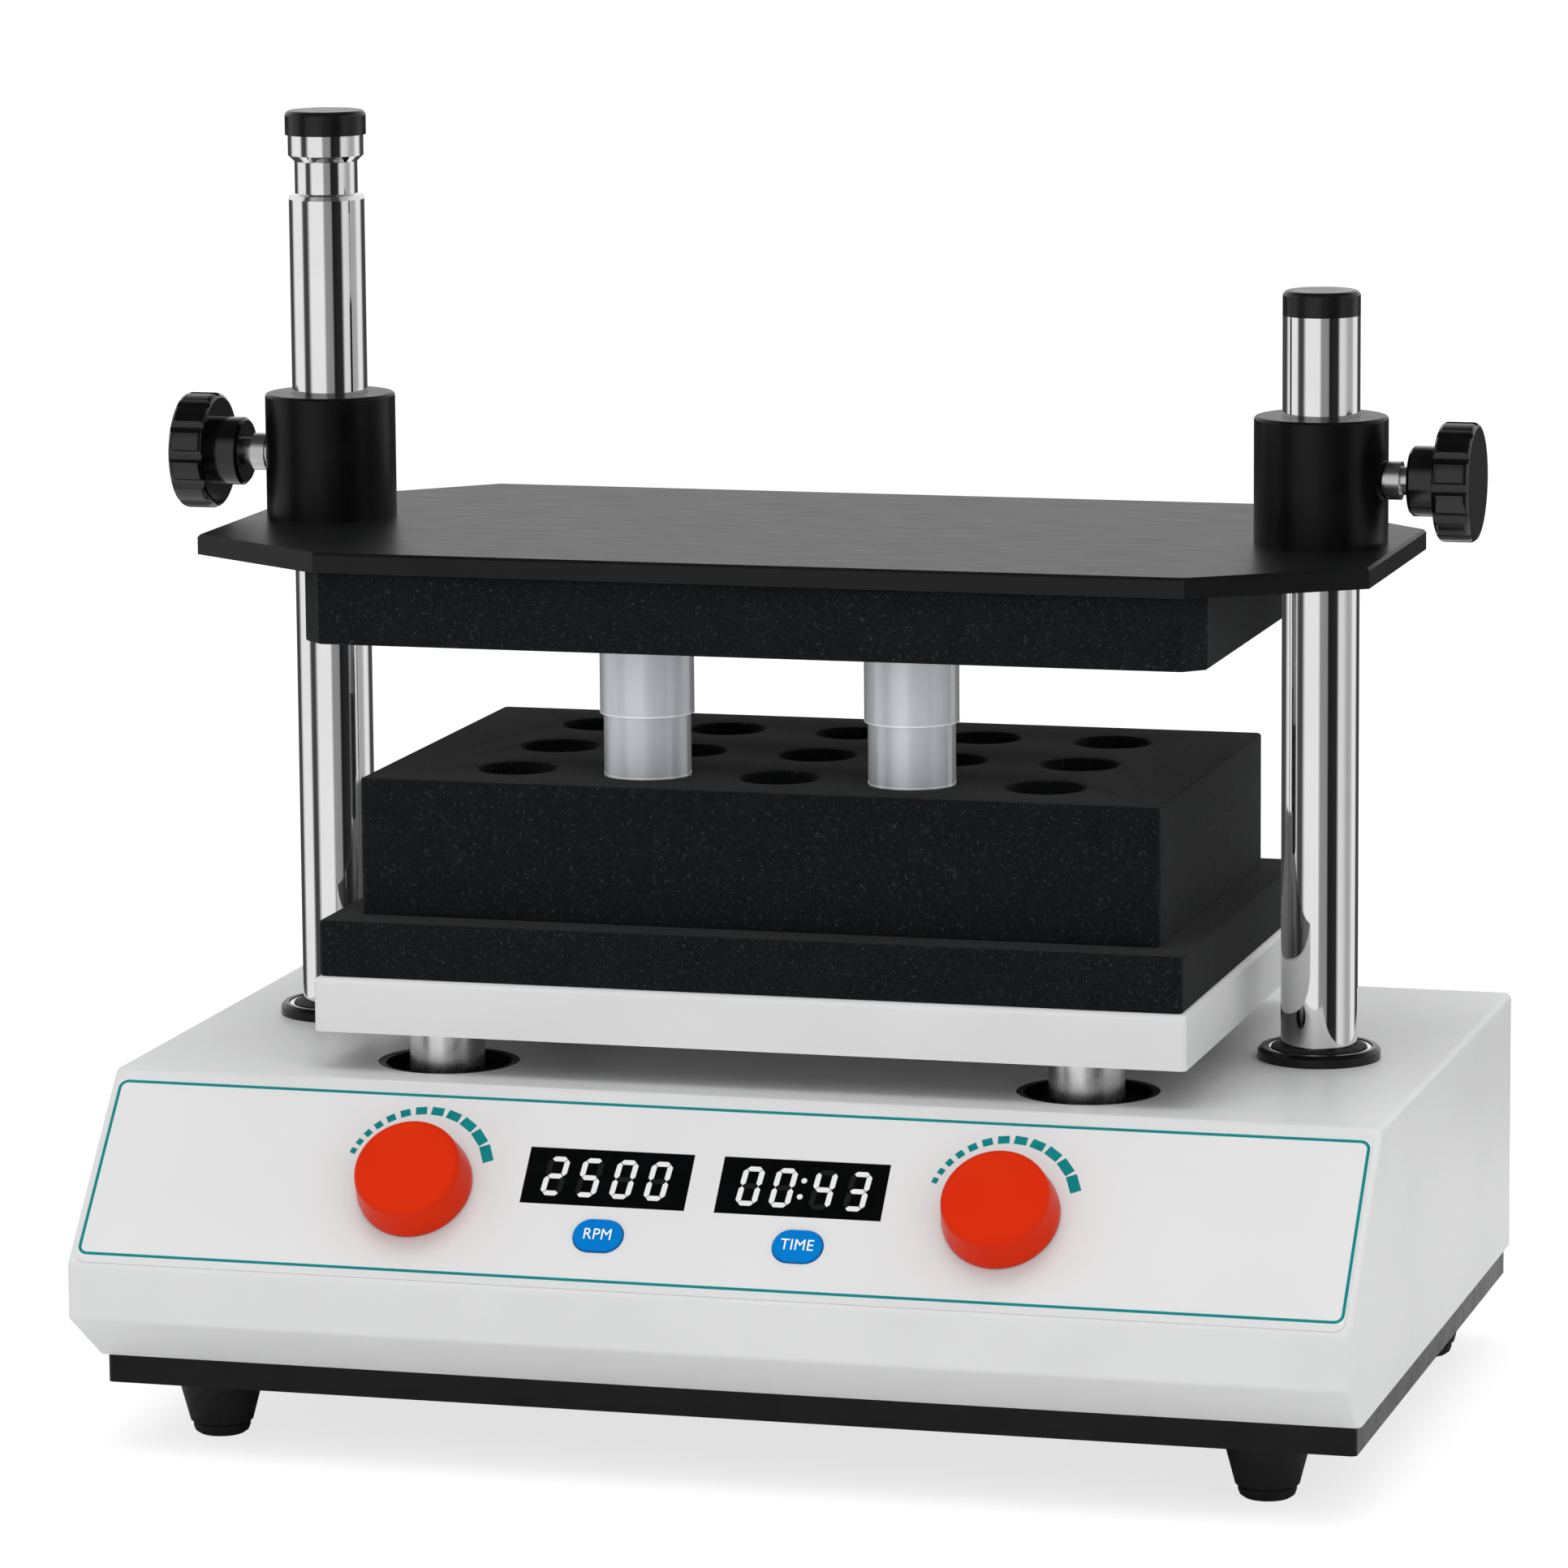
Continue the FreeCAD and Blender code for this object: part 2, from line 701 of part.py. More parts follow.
def case_shell():
    body = make_body("case_shell")
    outline = make_sketch(body, "YZ_Plane")
    polygon(outline, [
        ("case_front + bevel_setback", "base_top"), ("case_rear", "base_top"), ("case_rear", "case_top"),
        ("case_front + slope_run", "case_top"), ("case_front", "strip_top"), ("case_front", "strip_bottom"),
    ])
    pad(body, outline, "case_width", both_ways=True)
    tuck = make_sketch(body, "XZ_Plane")
    polygon(tuck, [
        ("case_left - 1", "strip_bottom"), ("case_left", "strip_bottom"),
        ("case_left + tuck_width", "base_top"), ("case_left - 1", "base_top"),
    ])
    pocket(body, tuck, "case_depth*2", both_ways=True)
    doc.recompute()
    low = body.Shape.BoundBox.ZMin
    rear = body.Shape.BoundBox.YMax
    soften(body, "case_edge", lambda edge: edge.BoundBox.ZMax > low + 1 and edge.BoundBox.YMin < rear - 1)

    wide = make_sketch(body, "YZ_Plane", "tuck_inside")
    inner_profile(wide, "base_top - 1", [
        ("bevel_low + bevel_setback/bevel_drop", "base_top - 1"),
        ("case_front + case_wall", "bevel_top"),
    ])
    pocket(body, wide, "case_width - 2*case_wall - tuck_width", backwards=True)
    side = make_sketch(body, "YZ_Plane", "case_left + case_wall")
    inner_profile(side, "bevel_top", [("case_front + case_wall", "bevel_top")])
    pocket(body, side, "tuck_width + 1", backwards=True)

    flanges = make_sketch(body, "XY_Plane", "base_top")
    flange_depth = "case_depth - bevel_setback - 6*case_wall - flange_width"
    flange_y = "(bevel_setback + 4*case_wall + flange_width)/2 - case_wall"
    rectangle(flanges, "tuck_inside + flange_width/2", flange_y, "flange_width", flange_depth)
    rectangle(flanges, "case_right - case_wall - flange_width/2", flange_y, "flange_width", flange_depth)
    pad(body, flanges, "case_wall")
    lips = make_sketch(body, "XZ_Plane", "-rear_inside")
    for x in ("case_left + case_wall + rear_lip_width/2", "case_right - case_wall - rear_lip_width/2"):
        rectangle(lips, x, "(rear_bottom + inside_top)/2 + case_wall*2", "rear_lip_width",
                  "inside_top - rear_bottom - case_wall*4")
    pad(body, lips, "case_wall")

    top_holes = make_sketch(body, "XY_Plane", "case_top")
    for x, y in POST_HOLES:
        circle(top_holes, x, y, "post_hole_radius")
    for x, y in COLUMNS:
        circle(top_holes, x, y, "column_radius + column_gap*4")
    pocket(body, top_holes, "case_wall*2")
    screw_holes = make_sketch(body, "XY_Plane", "base_top")
    for x, y in CASE_SCREWS:
        circle(screw_holes, x, y, "case_screw_radius + thread_gap")
    pocket(body, screw_holes, "case_wall*2", both_ways=True)
    lip_holes = make_sketch(body, "XZ_Plane", "-rear_inside")
    for x in ("-rear_screw_x", "rear_screw_x"):
        for z in ("rear_bottom + rear_screw_rise", "rear_top - rear_screw_rise"):
            circle(lip_holes, x, z, "case_screw_radius + thread_gap")
    pocket(body, lip_holes, "case_wall*3", both_ways=True)
    windows = slope_sketch(body)
    panel_openings(windows, "display_gap")
    pocket(body, windows, "case_wall*3", both_ways=True)
    return node(body, "case_shell")


def key_outline(sketch, x, spare):
    """The oval of a push button, larger all round by a spare."""
    reach = "(key_width - key_height)/2"
    start = sketch.GeometryCount
    z_axis = FreeCAD.Vector(0, 0, 1)
    for side, first in ((1, -math.pi / 2), (-1, math.pi / 2)):
        arc = Part.ArcOfCircle(Part.Circle(FreeCAD.Vector(3 * side, 20, 0), z_axis, 5), first, first + math.pi)
        sketch.addGeometry(arc, False)
    sketch.addGeometry(Part.LineSegment(FreeCAD.Vector(3, 25, 0), FreeCAD.Vector(-3, 25, 0)), False)
    sketch.addGeometry(Part.LineSegment(FreeCAD.Vector(-3, 15, 0), FreeCAD.Vector(3, 15, 0)), False)
    right, left, high, low = start, start + 1, start + 2, start + 3
    for first, first_end, second, second_end in ((right, 2, high, 1), (high, 2, left, 1),
                                                 (left, 2, low, 1), (low, 2, right, 1)):
        sketch.addConstraint(Sketcher.Constraint("Tangent", first, first_end, second, second_end))
    sketch.addConstraint(Sketcher.Constraint("Horizontal", high))
    sketch.addConstraint(Sketcher.Constraint("Equal", right, left))
    fix(sketch, "Radius", right, text=f"key_height/2 + {spare}", drawn=5)
    fix(sketch, "DistanceX", -1, 1, right, 3, text=f"{x} + {reach}", drawn=3)
    fix(sketch, "DistanceY", -1, 1, right, 3, text="key_up", drawn=20)
    fix(sketch, "DistanceX", -1, 1, left, 3, text=f"{x} - {reach}", drawn=-3)


def panel_openings(sketch, gap):
    """Windows, button holes and stem holes of the sloped panel."""
    for x in ("speed_display_x", "time_display_x"):
        rectangle(sketch, x, "display_up", f"display_width + 2*{gap}", f"display_height + 2*{gap}")
    for x in ("speed_key_x", "time_key_x"):
        key_outline(sketch, x, "key_gap")
    for x in ("speed_knob_x", "time_knob_x"):
        circle(sketch, x, "knob_up", "stem_radius + stem_hole_gap")


def panel_film():
    """The printed film that faces the slope."""
    body = make_body("panel_film")
    outline = slope_sketch(body)
    polygon(outline, [("film_left", "film_bottom"), ("film_right", "film_bottom"),
                      ("film_right", "film_upper"), ("film_left", "film_upper")])
    pad(body, outline, "film_thickness")
    doc.recompute()
    thickness = body.Shape.Volume / max(face.Area for face in body.Shape.Faces)
    soften(body, "film_corner", lambda edge: edge.Length < thickness * 1.5)
    holes = slope_sketch(body)
    panel_openings(holes, "display_gap")
    pocket(body, holes, "film_thickness*3", both_ways=True)
    return node(body, "panel_film")


def rear_panel():
    body = make_body("rear_panel")
    sheet_outline = make_sketch(body, "XZ_Plane", "-case_rear")
    polygon(sheet_outline, [
        ("-rear_x", "bevel_top + seam_gap"), ("tuck_inside + seam_gap", "bevel_top + seam_gap"),
        ("tuck_inside + seam_gap", "rear_bottom"), ("lip_left", "rear_bottom"), ("lip_left", "base_top"),
        ("lip_right", "base_top"), ("lip_right", "rear_bottom"), ("rear_x", "rear_bottom"),
        ("rear_x", "rear_top"), ("-rear_x", "rear_top"),
    ])
    pad(body, sheet_outline, "case_wall")
    lip = make_sketch(body, "XY_Plane", "base_top")
    lip_front = "case_rear - base_inset_rear - rear_lip_width"
    polygon(lip, [("lip_left", lip_front), ("lip_right", lip_front),
                  ("lip_right", "rear_inside + seam_gap"), ("lip_left", "rear_inside + seam_gap")])
    pad(body, lip, "case_wall")
    holes = make_sketch(body, "XZ_Plane", "-case_rear")
    for x in ("-rear_screw_x", "rear_screw_x"):
        for z in ("rear_bottom + rear_screw_rise", "rear_top - rear_screw_rise"):
            circle(holes, x, z, "case_screw_radius + screw_gap")
    rectangle(holes, "inlet_x", "power_z", "inlet_width + 2*seam_gap", "inlet_height + 2*seam_gap")
    rectangle(holes, "switch_x", "power_z", "switch_width + 2*seam_gap", "switch_height + 2*seam_gap")
    pocket(body, holes, "case_wall*3", both_ways=True)
    slots = make_sketch(body, "XZ_Plane", "-case_rear")
    rectangle(slots, "-slots_x - slot_pitch", "power_z", "slot_width", "slot_length")
    first = pocket(body, slots, "case_wall*3", both_ways=True)
    pattern = body.newObject("PartDesign::LinearPattern", "slot_pattern")
    pattern.Originals = [first]
    pattern.Direction = (slots, ["H_Axis"])
    pattern.Reversed = True
    bind(pattern, Length="slot_pitch*(slot_count - 1)", Occurrences="slot_count")
    body.Tip = pattern
    return node(body, "rear_panel")


def case_screws():
    items = []
    for i, (x, y) in enumerate(CASE_SCREWS):
        items.append(case_screw(f"case_low_screw_{i}", x, y, "foot_height + case_screw_head + screw_gap"))
    for i, x in enumerate(("-rear_screw_x", "rear_screw_x")):
        for j, z in enumerate(("rear_bottom + rear_screw_rise", "rear_top - rear_screw_rise")):
            items.append(case_screw(f"rear_screw_{i}{j}", x, "case_rear", z, "front"))
    return group("case_screws", items)


def post_rims():
    """Grommets that line the holes which the posts pass through, held under the case's top."""
    items = []
    for i, (x, y) in enumerate(POST_HOLES):
        rim = turned(f"post_rim_{i}", [
            ("rim_inner_radius", "case_top - rim_depth"),
            ("rim_radius", "case_top - rim_depth"),
            ("rim_radius", "inside_top"),
            ("post_hole_radius - thread_gap", "inside_top"),
            ("post_hole_radius - thread_gap", "case_top - rim_drop"),
            ("rim_inner_radius", "case_top - rim_drop"),
        ])
        put(rim, x, y)
        items.append(rim)
    return group("post_rims", items)


# Controls

def display(name, x):
    """A display module from the film's face down to the board."""
    item = block(name, "display_width", "display_height",
                 "board_drop + film_thickness - display_recess", z="-board_drop")
    on_panel(item, "0", "0")
    bind(item,
         Placement__Base__x=f"{x} - display_width/2",
         Placement__Base__y="case_front + (display_up - display_height/2)*cos(slope_angle)"
                            " + board_drop*sin(slope_angle)",
         Placement__Base__z="strip_top + (display_up - display_height/2)*sin(slope_angle)"
                            " - board_drop*cos(slope_angle)")
    return node(item, name)


def panel_item(body, name, x, up):
    """Finishes a body that is drawn about its own Z axis by standing it on the panel."""
    on_panel(body, x, up)
    return node(body, name)


def control_knob(name, x):
    """A tapered knob with a stem that goes down into the potentiometer."""
    knob = turned(name, [
        ("0", "-stem_length"),
        ("stem_radius", "-stem_length"),
        ("stem_radius", "film_thickness + knob_lift"),
        ("knob_radius", "film_thickness + knob_lift"),
        ("knob_radius", "film_thickness + knob_lift + knob_edge"),
        ("knob_top_radius", "film_thickness + knob_lift + knob_height"),
        ("0", "film_thickness + knob_lift + knob_height"),
    ])
    doc.recompute()
    top = knob.Shape.BoundBox.ZMax
    soften(knob, "knob_edge", lambda edge: edge.BoundBox.ZMin > top - 0.01)
    return panel_item(knob, name, x, "knob_up")


def push_key(name, x):
    """An oval button with a flange that its switch holds up against the case."""
    body = make_body(name)
    flange_top = "-(case_wall + axial_play)"
    flange = make_sketch(body, "XY_Plane", flange_top)
    key_outline(flange, "0", "key_flange")
    pad(body, flange, "key_flange_thickness", backwards=True)
    cap = make_sketch(body, "XY_Plane", flange_top)
    key_outline(cap, "0", "0")
    pad(body, cap, "case_wall + axial_play + film_thickness + key_stand")
    doc.recompute()
    top = body.Shape.BoundBox.ZMax
    soften(body, "key_stand/2", lambda edge: edge.BoundBox.ZMin > top - 0.01)
    return panel_item(body, name, x, "0")


def key_switches():
    items = []
    for i, x in enumerate(("speed_key_x", "time_key_x")):
        height = "board_drop - switch_top - key_travel"
        item = block(f"key_switch_{i}", "switch_side", "switch_side", height)
        base = doc.addObject("Part::Compound", f"key_switch_place_{i}")
        base.Links = [item]
        turn(base, (1, 0, 0), "slope_angle")
        put(base, x, "case_front + key_up*cos(slope_angle) + board_drop*sin(slope_angle)",
            "strip_top + key_up*sin(slope_angle) - board_drop*cos(slope_angle)")
        items.append(base)
    return group("key_switches", items)


def potentiometers():
    items = []
    for i, x in enumerate(("speed_knob_x", "time_knob_x")):
        body = make_body(f"potentiometer_{i}")
        base = make_sketch(body, "XY_Plane", "-board_drop")
        rectangle(base, "0", "0", "pot_width", "pot_height")
        pad(body, base, "pot_thickness")
        bush = make_sketch(body, "XY_Plane", "pot_thickness - board_drop")
        circle(bush, "0", "0", "stem_radius + stem_hole_gap - key_gap")
        pad(body, bush, "board_drop - pot_thickness")
        bore = make_sketch(body, "XY_Plane", "0")
        circle(bore, "0", "0", "stem_radius + stem_gap")
        pocket(body, bore, "stem_length + axial_play*5")
        on_panel(body, x, "knob_up")
        items.append(body)
    return group("potentiometers", items)


def control_board():
    body = make_body("control_board")
    outline = slope_sketch(body)
    rectangle(outline, "0", "board_up", "board_width", "board_height")
    for x, up in BOARD_CORNERS:
        circle(outline, x, up, "standoff_screw_radius")
    pad(body, outline, "board_thickness")
    doc.recompute()
    item = doc.addObject("Part::Compound", "control_board_place")
    item.Links = [body]
    put(item, "0", "(board_drop + board_thickness)*sin(slope_angle)",
        "-(board_drop + board_thickness)*cos(slope_angle)")
    return node(item, "control_board")


def board_standoffs():
    items = []
    for i, (x, up) in enumerate(BOARD_CORNERS):
        item = turned(f"panel_standoff_{i}", [
            ("standoff_screw_radius", "-board_drop"), ("standoff_radius", "-board_drop"),
            ("standoff_radius", "-case_wall"), ("standoff_screw_radius", "-case_wall"),
        ])
        on_panel(item, x, up)
        items.append(item)
    for i, (x, y) in enumerate(SUPPLY_CORNERS):
        item = turned(f"supply_standoff_{i}", [
            ("standoff_screw_radius", "0"), ("standoff_radius", "0"),
            ("standoff_radius", "standoff_length"), ("standoff_screw_radius", "standoff_length"),
        ])
        put(item, x, y, "base_top")
        items.append(item)
    return group("board_standoffs", items)


# Columns

def columns():
    bolt = "column_bolt_radius + thread_gap"
    depth = "base_top + column_bolt_length"
    hollow = [("0", depth), (bolt, depth), (bolt, "base_top"), ("column_radius", "base_top")]
    spigot = "cap_spigot_radius + thread_gap"
    for side in SIDES:
        top = f"{side}_column_top"
        neck = [
            ("column_radius", "neck_low - neck_bevel"),
            ("column_radius - neck_bevel*0.3", "neck_low - neck_bevel*0.3"), ("neck_radius", "neck_low"),
            ("neck_radius", "neck_high"), ("column_radius", "neck_high + neck_bevel"),
        ]
        socket = [("column_radius", top), (spigot, top), (spigot, f"{top} - cap_spigot_length - thread_gap"),
                  ("0", f"{top} - cap_spigot_length - thread_gap")]
        column = turned(f"column_{side}", hollow + (neck if side == "left" else []) + socket)
        put(column, f"{SIDES[side]}*column_x", "drive_y")
        node(column, f"column_{side}")
        overhang = "left_cap_overhang" if side == "left" else "0"
        cap = turned(f"column_cap_{side}", [
            ("0", f"{top} - cap_spigot_length"), ("cap_spigot_radius", f"{top} - cap_spigot_length"),
            ("cap_spigot_radius", top), (f"column_radius + {overhang}", top),
            (f"column_radius + {overhang}", f"{top} + cap_height"), ("0", f"{top} + cap_height"),
        ])
        doc.recompute()
        high = cap.Shape.BoundBox.ZMax
        soften(cap, "cap_edge", lambda edge: edge.BoundBox.ZMin > high - 0.01)
        put(cap, f"{SIDES[side]}*column_x", "drive_y")
        node(cap, f"column_cap_{side}")


def column_rings():
    rings, seals = [], []
    for side, sign in SIDES.items():
        ring = turned(f"column_ring_{side}", [
            ("ring_bore", "case_top"), ("ring_radius", "case_top"),
            ("ring_radius", "case_top + ring_height*0.7"),
            ("ring_radius - ring_height*0.3", "case_top + ring_height"),
            ("ring_bead_radius", "case_top + ring_height"),
            ("ring_bead_radius", "case_top + ring_height*0.8"),
            ("ring_bore", "case_top + ring_height*0.8"),
        ])
        seal = turned(f"column_seal_{side}", [
            ("column_radius + column_gap", "case_top"), ("seal_radius", "case_top"),
            ("seal_radius", "case_top + ring_height"),
            ("column_radius + column_gap + seal_stand", "case_top + ring_height + seal_stand"),
            ("column_radius + column_gap", "case_top + ring_height + seal_stand"),
        ])
        for item in (ring, seal):
            put(item, f"{sign}*column_x", "drive_y")
        rings.append(ring)
        seals.append(seal)
    group("column_rings", rings)
    group("column_seals", seals)


def column_bolts():
    items = [screw(f"column_bolt_{i}", "column_bolt_radius", "column_bolt_length", "column_bolt_head_radius",
                   "column_bolt_head", x, y, "foot_height + column_bolt_head + screw_gap")
             for i, (x, y) in enumerate(COLUMNS)]
    return group("column_bolts", items)


# Drive

def chassis_plate():
    body = slab("chassis_plate", "chassis_width", "chassis_depth", "chassis_thickness",
                y="drive_y", z="chassis_bottom")
    soften(body, "base_corner", lambda edge: runs_along(edge, (0, 0, 1)))
    holes = make_sketch(body, "XY_Plane", "chassis_top")
    circle(holes, "0", "drive_y", "motor_boss_radius + screw_gap")
    for x, y in PILLARS + MOTOR_SCREWS:
        circle(holes, x, y, "frame_screw_radius + screw_gap")
    for x, y in IDLERS.values():
        circle(holes, x, f"drive_y + {y}", "small_ledge_radius")
    pocket(body, holes, "chassis_thickness*2")
    seats = make_sketch(body, "XY_Plane", "chassis_top")
    for x, y in IDLERS.values():
        circle(seats, x, f"drive_y + {y}", "small_bearing_radius + seat_gap")
    pocket(body, seats, "small_bearing_width")
    return node(body, "chassis_plate")


def chassis_pillars():
    items = []
    for i, (x, y) in enumerate(PILLARS):
        bore = cylinder(f"pillar_bore_{i}", "frame_screw_radius + thread_gap", "chassis_bottom - base_top")
        post = cylinder(f"pillar_bar_{i}", "pillar_radius", "chassis_bottom - base_top")
        pillar = cut(f"pillar_{i}", post, [bore])
        put(pillar, x, y, "base_top")
        items.append(pillar)
    return group("chassis_pillars", items)


def drive_motor():
    bore = "motor_shaft_radius + bearing_play"
    body = turned("drive_motor", [
        ("0", "chassis_bottom - motor_height"),
        ("motor_radius - base_corner", "chassis_bottom - motor_height"),
        ("motor_radius", "chassis_bottom - motor_height + base_corner"),
        ("motor_radius", "chassis_bottom"),
        ("motor_boss_radius", "chassis_bottom"),
        ("motor_boss_radius", "chassis_bottom + motor_boss_height"),
        (bore, "chassis_bottom + motor_boss_height"),
        (bore, "chassis_bottom - motor_shaft_depth - axial_play"),
        ("0", "chassis_bottom - motor_shaft_depth - axial_play"),
    ])
    threads = make_sketch(body, "XY_Plane", "chassis_bottom")
    for i, j in CORNERS:
        circle(threads, f"{i}*motor_screw_x", f"{j}*motor_screw_x", "frame_screw_radius + thread_gap")
    pocket(body, threads, "frame_screw_length")
    put(body, "0", "drive_y")
    return node(body, "drive_motor")


def motor_shaft():
    body = turned("motor_shaft", [
        ("0", "chassis_bottom - motor_shaft_depth"), ("motor_shaft_radius", "chassis_bottom - motor_shaft_depth"),
        ("motor_shaft_radius", "carriage_bottom - hub_cap"), ("0", "carriage_bottom - hub_cap"),
    ])
    put(body, "0", "drive_y")
    return node(body, "motor_shaft")


def crank_hub():
    """The hub on the motor shaft, with the crank pin standing off its axis towards the front."""
    body = turned("crank_hub", [
        ("motor_shaft_radius + seat_gap", "hub_bottom"), ("hub_radius", "hub_bottom"),
        ("hub_radius", "carriage_bottom - axial_play*5"), ("0", "carriage_bottom - axial_play*5"),
        ("0", "carriage_bottom - hub_cap + seat_gap"),
        ("motor_shaft_radius + seat_gap", "carriage_bottom - hub_cap + seat_gap"),
    ])
    pin = make_sketch(body, "XY_Plane", "carriage_bottom - axial_play*5")
    circle(pin, "0", "-crank_throw", "crank_pin_radius")
    pad(body, pin, "large_bearing_width")
    put(body, "0", "drive_y")
    return node(body, "crank_hub")


def counterweight():
    """A half disc opposite the crank pin, clamped round the hub."""
    body = make_body("counterweight")
    low = "hub_bottom + weight_rise - hub_lift"
    disc = make_sketch(body, "XY_Plane", low)
    circle(disc, "0", "0", "weight_radius")
    circle(disc, "0", "0", "hub_radius + seat_gap")
    pad(body, disc, "weight_thickness")
    away = make_sketch(body, "XY_Plane", low)
    polygon(away, [("-weight_radius*2", "-weight_radius*2"), ("weight_radius*2", "-weight_radius*2"),
                   ("weight_radius*2", "-motor_shaft_radius"), ("hub_radius + pillar_radius", "-motor_shaft_radius"),
                   ("hub_radius + pillar_radius/2", "-hub_radius*1.3"),
                   ("-hub_radius - pillar_radius/2", "-hub_radius*1.3"),
                   ("-hub_radius - pillar_radius", "-motor_shaft_radius"),
                   ("-weight_radius*2", "-motor_shaft_radius")])
    pocket(body, away, "weight_thickness*3", both_ways=True)
    put(body, "0", "drive_y")
    return node(body, "counterweight")


def idler_cranks():
    """Cranks beside the motor that hold the carriage square, each with the motor crank's throw."""
    for name, (x, y) in IDLERS.items():
        disc_low, disc_high = "chassis_top + axial_play*10", "carriage_bottom - axial_play*10"
        body = turned(f"idler_crank_{name}", [
            ("0", "chassis_top - small_bearing_width"), ("idler_pin_radius", "chassis_top - small_bearing_width"),
            ("idler_pin_radius", "chassis_top + axial_play"), ("idler_shoulder_radius", "chassis_top + axial_play"),
            ("idler_shoulder_radius", disc_low), ("idler_disc_radius", disc_low),
            ("idler_disc_radius", disc_high), ("0", disc_high),
        ])
        shoulder = make_sketch(body, "XY_Plane", disc_high)
        circle(shoulder, "0", "-crank_throw", "idler_shoulder_radius")
        pad(body, shoulder, "axial_play*9")
        pin = make_sketch(body, "XY_Plane", "carriage_bottom - axial_play")
        circle(pin, "0", "-crank_throw", "idler_pin_radius")
        pad(body, pin, "small_bearing_width")
        put(body, x, f"drive_y + {y}")
        node(body, f"idler_crank_{name}")


def bearing_ring(name, bore, outer, width, x, y, z):
    return_item = cut(name, cylinder(f"{name}_outer", outer, width), [cylinder(f"{name}_bore", bore, width)])
    put(return_item, x, y, z)
    return return_item


def bearings():
    lower, upper = [], []
    for name, (x, y) in IDLERS.items():
        bore = "idler_pin_radius + bearing_play"
        lower.append(bearing_ring(f"lower_bearing_{name}", bore, "small_bearing_radius", "small_bearing_width",
                                  x, f"drive_y + {y}", "chassis_top - small_bearing_width"))
        upper.append(bearing_ring(f"upper_bearing_{name}", bore, "small_bearing_radius", "small_bearing_width",
                                  x, f"carriage_y + {y}", "carriage_bottom"))
    group("idler_lower_bearings", lower)
    group("idler_upper_bearings", upper)
    drive = bearing_ring("drive_bearing_ring", "crank_pin_radius + bearing_play", "large_bearing_radius",
                         "large_bearing_width", "0", "carriage_y", "carriage_bottom")
    node(drive, "drive_bearing")


# Carriage

def carriage_plate():
    body = slab("carriage_plate", "carriage_width", "carriage_depth", "carriage_thickness",
                y="carriage_y", z="carriage_bottom")
    soften(body, "base_corner", lambda edge: runs_along(edge, (0, 0, 1)))
    holes = make_sketch(body, "XY_Plane", "carriage_top")
    circle(holes, "0", "carriage_y", "large_ledge_radius")
    for x, y in IDLERS.values():
        circle(holes, x, f"carriage_y + {y}", "small_ledge_radius")
    for x, y in POSTS:
        circle(holes, x, y, "frame_screw_radius + screw_gap")
    pocket(body, holes, "carriage_thickness*2")
    large = make_sketch(body, "XY_Plane", "carriage_bottom")
    circle(large, "0", "carriage_y", "large_bearing_radius + seat_gap")
    pocket(body, large, "large_bearing_width", backwards=True)
    small = make_sketch(body, "XY_Plane", "carriage_bottom")
    for x, y in IDLERS.values():
        circle(small, x, f"carriage_y + {y}", "small_bearing_radius + seat_gap")
    pocket(body, small, "small_bearing_width", backwards=True)
    return node(body, "carriage_plate")


def platform_posts():
    items = []
    height = "platform_inside - carriage_top"
    for i, (x, y) in enumerate(POSTS):
        bar = cylinder(f"post_bar_{i}", "post_radius", height)
        bore = cylinder(f"post_bore_{i}", "frame_screw_radius + thread_gap", height)
        post = cut(f"post_{i}", bar, [bore])
        put(post, x, y, "carriage_top")
        items.append(post)
    return group("platform_posts", items)


def post_screws():
    items = []
    for i, (x, y) in enumerate(POSTS):
        items.append(frame_screw(f"post_low_screw_{i}", x, y, "carriage_bottom"))
        items.append(frame_screw(f"post_top_screw_{i}", x, y, "platform_top", "down"))
    return group("post_screws", items)


def platform():
    """A folded tray, open below, that the posts carry."""
    body = slab("platform", "platform_width", "platform_depth", "platform_height",
                y="carriage_y", z="platform_top - platform_height")
    doc.recompute()
    low = body.Shape.BoundBox.ZMin
    soften(body, "platform_edge", lambda edge: edge.BoundBox.ZMax > low + 1)
    hollow = make_sketch(body, "XY_Plane", "platform_top - platform_height")
    rectangle(hollow, "0", "carriage_y", "platform_width - 2*platform_wall", "platform_depth - 2*platform_wall")
    pocket(body, hollow, "platform_height - platform_wall", backwards=True)
    holes = make_sketch(body, "XY_Plane", "platform_top")
    for x, y in POSTS:
        circle(holes, x, y, "frame_screw_radius + screw_gap")
    pocket(body, holes, "platform_wall*2")
    return node(body, "platform")


def base_foam():
    """The foam sheet on the platform, recessed over the screw heads."""
    body = slab("base_foam", "sheet_foam_width", "sheet_foam_depth", "sheet_foam_thickness",
                y="carriage_y", z="platform_top")
    recesses = make_sketch(body, "XY_Plane", "platform_top")
    for x, y in POSTS:
        circle(recesses, x, y, "frame_screw_head_radius + screw_gap")
    pocket(body, recesses, "frame_screw_head + screw_gap", backwards=True)
    return node(body, "base_foam")


def rack_foam():
    """The foam block with its grid of tube holes."""
    body = slab("rack_foam", "rack_width", "rack_depth", "rack_height", y="carriage_y", z="rack_bottom")
    holes = make_sketch(body, "XY_Plane", "rack_top")
    for row in RACK_ROWS:
        for column in RACK_COLUMNS:
            holds_tube = row == RACK_ROWS[0] and column in TUBE_COLUMNS
            radius = "tube_radius + tube_gap" if holds_tube else "rack_hole_radius"
            circle(holes, f"{column}*rack_pitch_x", f"carriage_y + {row}*rack_pitch_y", radius)
    pocket(body, holes, "rack_height*2")
    return node(body, "rack_foam")


